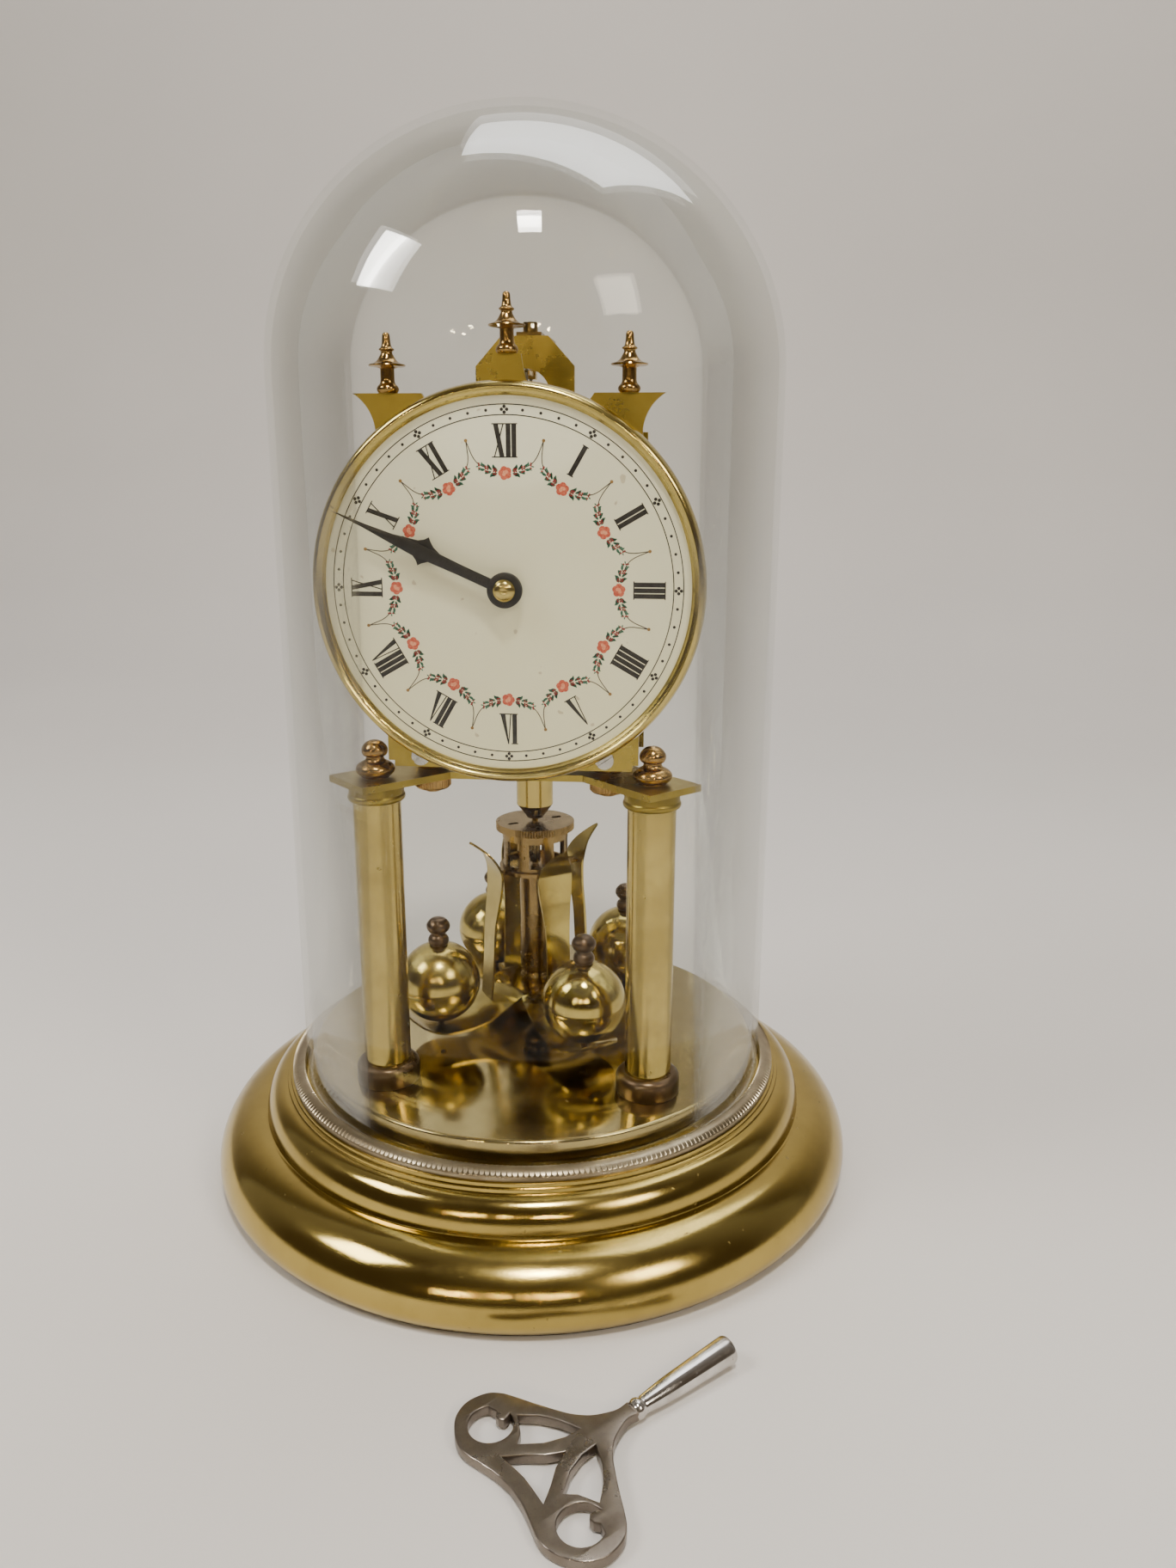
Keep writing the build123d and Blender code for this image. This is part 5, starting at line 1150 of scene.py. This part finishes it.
@dataclass
class Finials:
    """The three turned finials on the front plate."""

    finishes: Finishes
    spots: tuple[Triple, ...] = ((-29.3, -34.75, 220.2), (29.3, -34.75, 220.2),
                                 (0.0, -34.75, 229.1))

    def build(self) -> None:
        """Turn the finials."""
        outline = [(0.0, 0.0), (2.2, 0.0), *bow((2.2, 0.0), (2.3, 1.8), 0.45, 8)[1:],
                   *bow((2.05, 2.0), (1.7, 3.3), -0.12, 4), (1.7, 5.6),
                   *bow((1.7, 5.6), (4.2, 6.15), -0.15, 4)[1:], (4.5, 6.35),
                   *bow((4.35, 6.6), (1.75, 8.5), -0.45, 8), (1.45, 9.0), (1.35, 9.5),
                   *bow((1.45, 9.65), (1.45, 10.4), 0.42, 6), *bow((1.2, 10.8), (0.95, 13.0),
                                                                   -0.06, 3),
                   *bow((0.95, 13.0), (0.0, 14.0), 0.3, 5)[1:]]
        turned("turned_finials", outline, list(self.spots), self.finishes.red, Body.FRAME,
               ("finials",), 45.0, steps=64)


@dataclass
class Pendulum:
    """The torsion pendulum: disc, cage, column, arms, dished leaves, balls and knobs."""

    finishes: Finishes
    ring: Ring
    first_angle: float = 213.0
    ball_circle: float = 31.7
    ball_z: float = 55.6
    ball: float = 12.0
    leaf_half: float = 9.6
    leaf_reach: float = 42.6
    dish: tuple[Pair, ...] = ((0.0, 50.3), (6.0, 50.3), (13.0, 49.3), (22.0, 44.1), (31.7, 42.7),
                              (38.5, 44.1), (42.6, 47.3))
    petal: tuple[tuple[float, float, float], ...] = (
        (16.5, 47.7, 3.6), (15.6, 58.0, 3.7), (15.0, 69.7, 3.8), (14.0, 77.0, 4.5),
        (13.6, 79.7, 4.9), (13.25, 84.0, 5.35), (13.25, 86.9, 5.4), (13.8, 89.0, 5.0),
        (14.9, 91.2, 4.1), (16.4, 93.2, 2.9), (18.4, 95.0, 1.7), (20.3, 96.4, 0.7),
        (21.2, 97.0, 0.1))

    def angles(self) -> list[float]:
        """The directions of the four arms."""
        return [math.radians(self.first_angle + 90.0 * k) for k in range(4)]

    def build(self, nodes: dict) -> None:
        """Make the pendulum's pieces."""
        kit = self.finishes
        dress(nodes, ("regulating_disc", "pendulum_cage"), kit.aged)
        axis = [(0.0, HANG_Y, 0.0)]
        post = [(0.0, 48.0), (2.0, 48.0), (2.0, 50.3), (5.0, 50.3), (5.0, 52.4), (4.4, 53.0),
                (4.4, 53.6), (4.8, 54.0), (4.8, 84.6), (4.5, 86.2), (0.0, 86.2)]
        turned("turned_column", soften(post, 0.2, False), axis, kit.aged, Body.PENDULUM,
               ("column",), steps=72)
        top = 49.6
        knob = [(0.0, top), (4.6, top), (4.6, top - 1.2), (3.4, top - 1.8), (3.4, top - 3.2),
                *bow((4.2, top - 3.9), (4.0, top - 7.6), -0.7, 8),
                *bow((3.2, top - 8.4), (0.0, top - 9.6), -0.3, 6)]
        turned("turned_knob", soften(knob, 0.15, False), axis, kit.aged, Body.PENDULUM,
               ("column_knob",), steps=64)
        self.leaves()
        self.arms()
        self.balls()

    def leaves(self) -> None:
        """Make the dished sheet with its four broad leaves."""
        upper = chain(list(self.dish), 4)
        profile = [p for p in upper if p[0] > 2.3]
        rows = len(profile)
        across = 13
        parts = []
        for angle in self.angles():
            verts = []
            for level in (0.0, -0.7):
                for r, z in profile:
                    flat = self.leaf_reach - self.leaf_half
                    limit = self.leaf_half if r <= flat else math.sqrt(
                        max(self.leaf_half ** 2 - (r - flat) ** 2, 0.01))
                    span = min(math.asin(min(limit / r, 1.0)), math.pi / 4)
                    for k in range(across):
                        turn = angle + span * (2 * k / (across - 1) - 1)
                        verts.append((r * math.cos(turn), HANG_Y + r * math.sin(turn), z + level))
            faces = []
            shift = rows * across
            for i in range(rows - 1):
                for k in range(across - 1):
                    a = i * across + k
                    quad = (a, a + 1, a + across + 1, a + across)
                    faces += [quad, tuple(shift + q for q in reversed(quad))]
                for k in (0, across - 1):
                    a = i * across + k
                    if profile[i][0] > 13.4:
                        faces.append((a, a + across, a + across + shift, a + shift))
            for k in range(across - 1):
                for row in (0, rows - 1):
                    a = row * across + k
                    faces.append((a, a + 1, a + 1 + shift, a + shift))
            parts.append((verts, faces))
        finished("dished_leaves", mesh_of("dished_leaves", *joined(parts)),
                 self.finishes.pendulum, Body.PENDULUM, ("flower",), 40.0)

    def arms(self) -> None:
        """Make the four bent arms, each ending in a petal."""
        path = chain([(r, z) for r, z, _ in self.petal], 4)
        widths = chain([(z, w) for _, z, w in self.petal], 4)
        parts = []
        for angle in self.angles():
            out = Vector((math.cos(angle), math.sin(angle), 0.0))
            side = Vector((-out.y, out.x, 0.0))
            verts = []
            for i, (r, z) in enumerate(path):
                ahead = Vector(path[min(i + 1, len(path) - 1)]) - Vector(path[max(i - 1, 0)])
                normal = Vector((ahead.y, -ahead.x)).normalized() * 0.34
                width = max(widths[i][1], 0.08)
                for s, n in ((-1, -1), (1, -1), (1, 1), (-1, 1)):
                    spot = out * (r + n * normal.x) + side * (s * width)
                    verts.append((spot.x, HANG_Y + spot.y, z + n * normal.y))
            faces = [(4 * i + k, 4 * i + (k + 1) % 4, 4 * i + 4 + (k + 1) % 4, 4 * i + 4 + k)
                     for i in range(len(path) - 1) for k in range(4)]
            last = 4 * (len(path) - 1)
            faces += [(3, 2, 1, 0), tuple(last + k for k in range(4))]
            parts.append((verts, faces))
        finished("petal_arms", mesh_of("petal_arms", *joined(parts)), self.finishes.pendulum,
                 Body.PENDULUM, ("swan_arms",), 35.0)

    def balls(self) -> None:
        """Turn the four balls with their seam bands, and the knobs on them."""
        spots = [(self.ball_circle * math.cos(a), HANG_Y + self.ball_circle * math.sin(a),
                  self.ball_z) for a in self.angles()]
        half = [(self.ball * math.sin(math.pi * k / 40), -self.ball * math.cos(math.pi * k / 40))
                for k in range(41)]
        seam = [(r, z) for r, z in half if z < -0.9]
        seam += [(self.ball - 0.03, -0.55), (self.ball, -0.5), (self.ball, -0.1),
                 (self.ball - 0.2, -0.05), (self.ball - 0.2, 0.05), (self.ball, 0.1)]
        seam += [(r, z) for r, z in half if z > 0.9]
        turned("pendulum_balls", seam, spots, self.finishes.pendulum, Body.PENDULUM, ("balls",),
               40.0, steps=72)
        low = self.ball - 0.35
        knob = [(0.0, low - 0.2), (2.6, low), *bow((2.7, low + 0.2), (2.6, low + 2.7), 0.42, 6),
                *bow((2.25, low + 3.0), (2.2, low + 3.9), -0.06, 4),
                *bow((2.75, low + 4.1), (2.5, low + 7.6), 0.85, 10),
                *bow((2.2, low + 7.9), (0.0, low + 8.4), 0.15, 4)]
        pin = [(0.0, -14.0), (0.9, -13.8), (0.9, -11.0), (0.0, -11.0)]
        turned("ball_knobs", soften(knob, 0.1, False), spots, self.finishes.dark, Body.PENDULUM,
               ("ball_screws",), 45.0, steps=48)
        turned("ball_pins", pin, spots, self.finishes.dark, Body.PENDULUM, steps=24)


@dataclass
class WindingKey:
    """The nickelled winding key that lies in front of the base."""

    finishes: Finishes
    neck: Triple = (37.1, -115.0, 2.44)
    angle: float = 43.5
    tilt: float = 1.87
    thick: float = 2.6
    outline: tuple[Pair, ...] = (
        (0.4, 2.0), (-2.5, 1.8), (-5.5, 2.8), (-8.5, 4.5), (-11.3, 7.4), (-13.6, 11.1),
        (-16.0, 15.4), (-18.0, 19.2), (-19.8, 22.0), (-22.5, 24.0), (-27.0, 24.6), (-31.0, 22.8),
        (-33.5, 19.5), (-34.9, 16.0), (-34.9, 12.7), (-33.9, 9.0), (-32.8, 4.5), (-32.3, 0.0))
    eye: Pair = (-26.4, 16.0)
    eye_radius: float = 5.0
    petal: tuple[Pair, ...] = ((-20.5, 14.3), (-17.0, 11.2), (-14.3, 7.4), (-12.2, 2.7),
                               (-16.1, 3.1), (-20.4, 4.7), (-25.0, 8.0), (-22.7, 10.0))
    back: tuple[Pair, ...] = ((-18.3, 0.0), (-22.2, 1.9), (-25.8, 4.9), (-29.4, 7.4),
                              (-28.9, 2.8), (-28.7, 0.0))

    def place(self) -> Matrix:
        """Where the key lies, its barrel along +X."""
        return (Matrix.Translation([c * MM for c in self.neck])
                @ Matrix.Rotation(math.radians(self.angle), 4, "Z")
                @ Matrix.Rotation(-math.radians(self.tilt), 4, "Y"))

    def eye_outline(self, side: int) -> list[Pair]:
        """One eye of the bow, with the small hook that reaches into it."""
        points = []
        for k in range(28):
            angle = math.radians(62 + 296 * k / 27)
            points.append((self.eye[0] + self.eye_radius * math.cos(angle),
                           side * (self.eye[1] + self.eye_radius * math.sin(angle))))
        hook = [(-22.6, 15.2), (-23.6, 15.1), (-24.4, 16.0), (-24.3, 17.2), (-23.4, 18.2)]
        return points + [(x, side * y) for x, y in hook]

    def build(self) -> None:
        """Make the pierced bow and the barrel."""
        half = chain(list(self.outline), 5)
        outer = half + [(x, -y) for x, y in reversed(half[:-1])]
        back = list(self.back) + [(x, -y) for x, y in reversed(self.back[1:-1])]
        holes = [back]
        for side in (-1, 1):
            holes.append(self.eye_outline(side))
            holes.append([(x, side * y) for x, y in self.petal])
        curve = bpy.data.curves.new("key_bow", "CURVE")
        curve.dimensions = "2D"
        curve.fill_mode = "BOTH"
        bevel = 0.35
        curve.extrude = (self.thick / 2 - bevel) * MM
        curve.bevel_depth = bevel * MM
        curve.bevel_resolution = 2
        curve.offset = -bevel * MM
        for loop in (outer, *holes):
            spline = curve.splines.new("POLY")
            spline.points.add(len(loop) - 1)
            for point, (x, y) in zip(spline.points, loop):
                point.co = (x * MM, y * MM, 0.0, 1.0)
            spline.use_cyclic_u = True
        holder = bpy.data.objects.new("key_bow_curve", curve)
        bpy.context.scene.collection.objects.link(holder)
        graph = bpy.context.evaluated_depsgraph_get()
        mesh = bpy.data.meshes.new_from_object(holder.evaluated_get(graph))
        bpy.data.objects.remove(holder)
        cleaned(mesh, 1e-6).transform(self.place())
        finished("key_bow", mesh, self.finishes.nickel, Body.KEY, ("winding_key",), 30.0)
        barrel = [(0.0, 0.2), (2.0, 0.2), *bow((2.05, 0.4), (2.05, 2.6), 0.36, 8), (1.95, 2.9),
                  *chain([(2.0, 3.1), (2.35, 6.5), (2.72, 11.0), (2.95, 17.0), (3.2, 24.0),
                          (3.36, 29.0)], 4), (3.2, 29.4), (2.5, 29.4), (2.35, 29.1), (2.35, 18.0),
                  (0.0, 17.5)]
        mesh = lathe("key_barrel", barrel, [(0.0, 0.0, 0.0)], steps=64)
        mesh.transform(self.place() @ Matrix.Rotation(math.pi / 2, 4, "Y"))
        finished("key_barrel", mesh, self.finishes.bright_nickel, Body.KEY, (), 40.0)


@dataclass(frozen=True)
class Lamp:
    """One studio lamp: a square panel aimed at the clock, or a bare round bulb."""

    name: str
    kind: LampKind
    spot: Triple
    size: float
    power: float
    colour: Colour

    def hang(self) -> None:
        """Put the lamp in the scene."""
        lamp = bpy.data.lights.new(self.name, self.kind.value)
        lamp.energy = self.power
        lamp.color = self.colour
        holder = bpy.data.objects.new(self.name, lamp)
        if self.kind is LampKind.PANEL:
            lamp.size = self.size
            aim = Vector((0.0, 0.0, 0.13)) - Vector(self.spot)
            holder.rotation_euler = aim.to_track_quat("-Z", "Y").to_euler()
        else:
            lamp.shadow_soft_size = self.size
        holder.location = self.spot
        bpy.context.scene.collection.objects.link(holder)


@dataclass
class Studio:
    """The pale floor, soft lamps and camera."""

    eye: Triple = (47.05, -330.58, 202.30)
    heading: float = 5.29
    pitch: float = 14.86
    roll: float = 0.15
    focal: float = 27.15
    panels: tuple[Lamp, ...] = (
        Lamp("high_lamp", LampKind.PANEL, (0.10, -0.55, 1.25), 0.16, 12.0, (1.0, 0.95, 0.88)),
        Lamp("left_lamp", LampKind.PANEL, (-0.95, -0.45, 1.05), 0.45, 9.0, (1.0, 0.97, 0.93)),
        Lamp("right_lamp", LampKind.PANEL, (0.85, -0.75, 0.85), 0.35, 6.0, (1.0, 0.90, 0.76)),
        Lamp("back_lamp", LampKind.PANEL, (0.2, 0.75, 1.6), 1.2, 16.0, (0.98, 0.98, 1.0)),
    )
    bulbs: tuple[Triple, ...] = ((-0.62, -1.5, 0.62), (-0.50, -1.55, 0.60), (-0.40, -1.5, 0.66),
                                 (-0.1, -1.6, 0.70), (0.28, -1.55, 0.68), (0.36, -1.6, 0.72),
                                 (0.46, -1.55, 0.66))

    def build(self) -> None:
        """Set the stage."""
        self.floor()
        self.lights()
        self.camera()

    def floor(self) -> None:
        """Lay the floor, which sweeps up behind the clock."""
        path = [(-2.5, 0.0), (0.55, 0.0), (0.75, 0.02), (0.88, 0.08), (0.96, 0.2), (1.0, 0.4),
                (1.0, 2.6)]
        verts = [(x, y, z - 0.0002) for y, z in path for x in (-3.0, 3.0)]
        faces = [(2 * i, 2 * i + 1, 2 * i + 3, 2 * i + 2) for i in range(len(path) - 1)]
        mesh = bpy.data.meshes.new("studio_floor")
        mesh.from_pydata(verts, [], faces)
        recipe = Recipe("pale_cloth")
        weave = recipe.noise(500.0, 2.0, 0.5)
        cloud = recipe.noise(3.0, 3.0, 0.5)
        mesh.materials.append(recipe.shade({
            "Base Color": recipe.mix(cloud, (0.60, 0.58, 0.56), (0.68, 0.66, 0.635)),
            "Roughness": 0.9,
            "Normal": recipe.bump(weave, 0.0002, 0.3),
        }))
        for face in mesh.polygons:
            face.use_smooth = True
        floor = bpy.data.objects.new("studio_floor", mesh)
        bpy.context.scene.collection.objects.link(floor)

    def lights(self) -> None:
        """Hang the lamps and bulbs."""
        for panel in self.panels:
            panel.hang()
        for k, spot in enumerate(self.bulbs):
            Lamp(f"bulb_{k}", LampKind.BULB, spot, 0.016, 3.5, (1.0, 0.80, 0.52)).hang()
        self.sky()

    def sky(self) -> None:
        """Set a soft sky, dark in front of the clock and pale behind it."""
        world = bpy.data.worlds.new("soft_room")
        world.use_nodes = True
        tree = world.node_tree
        sky = tree.nodes["Background"]
        coords = tree.nodes.new("ShaderNodeTexCoord")
        split = tree.nodes.new("ShaderNodeSeparateXYZ")
        tree.links.new(coords.outputs["Generated"], split.inputs[0])
        ramp = tree.nodes.new("ShaderNodeValToRGB")
        stops = ((0.0, (0.10, 0.075, 0.05)), (0.42, (0.16, 0.12, 0.085)),
                 (0.55, (0.42, 0.38, 0.34)), (1.0, (0.95, 0.93, 0.90)))
        while len(ramp.color_ramp.elements) < len(stops):
            ramp.color_ramp.elements.new(0.5)
        for element, (position, colour) in zip(ramp.color_ramp.elements, stops):
            element.position = position
            element.color = (*colour, 1.0)
        shift = tree.nodes.new("ShaderNodeMath")
        shift.operation = "MULTIPLY_ADD"
        shift.inputs[1].default_value = 0.5
        shift.inputs[2].default_value = 0.5
        tree.links.new(split.outputs["Y"], shift.inputs[0])
        tree.links.new(shift.outputs[0], ramp.inputs[0])
        tree.links.new(ramp.outputs[0], sky.inputs["Color"])
        sky.inputs["Strength"].default_value = 0.55
        bpy.context.scene.world = world

    def camera(self) -> None:
        """Place the camera."""
        lens = bpy.data.cameras.new("clock_camera")
        lens.sensor_fit = "VERTICAL"
        lens.sensor_height = 36.0
        lens.lens = self.focal
        lens.clip_start = 0.01
        holder = bpy.data.objects.new("clock_camera", lens)
        holder.matrix_world = (Matrix.Translation([c * MM for c in self.eye])
                               @ Matrix.Rotation(math.radians(self.heading), 4, "Z")
                               @ Matrix.Rotation(math.radians(90.0 - self.pitch), 4, "X")
                               @ Matrix.Rotation(math.radians(self.roll), 4, "Z"))
        bpy.context.scene.collection.objects.link(holder)
        bpy.context.scene.camera = holder


def main() -> None:
    """Dress the frame and build the clock round it."""
    logging.basicConfig(level=logging.INFO, format="%(name)s %(message)s")
    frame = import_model()
    nodes = frame["nodes"]
    finishes = Finishes()
    ring = Ring()
    Base(finishes, ring).build(nodes)
    Pillars(finishes).build()
    Movement(finishes, ring).build(nodes)
    Dial(finishes, ring).build(nodes)
    Bezel(finishes).build()
    Hands(finishes).build()
    Finials(finishes).build()
    Pendulum(finishes, ring).build(nodes)
    WindingKey(finishes).build()
    GlassDome(finishes).build()
    Studio().build()


if __name__ == "__main__":
    main()
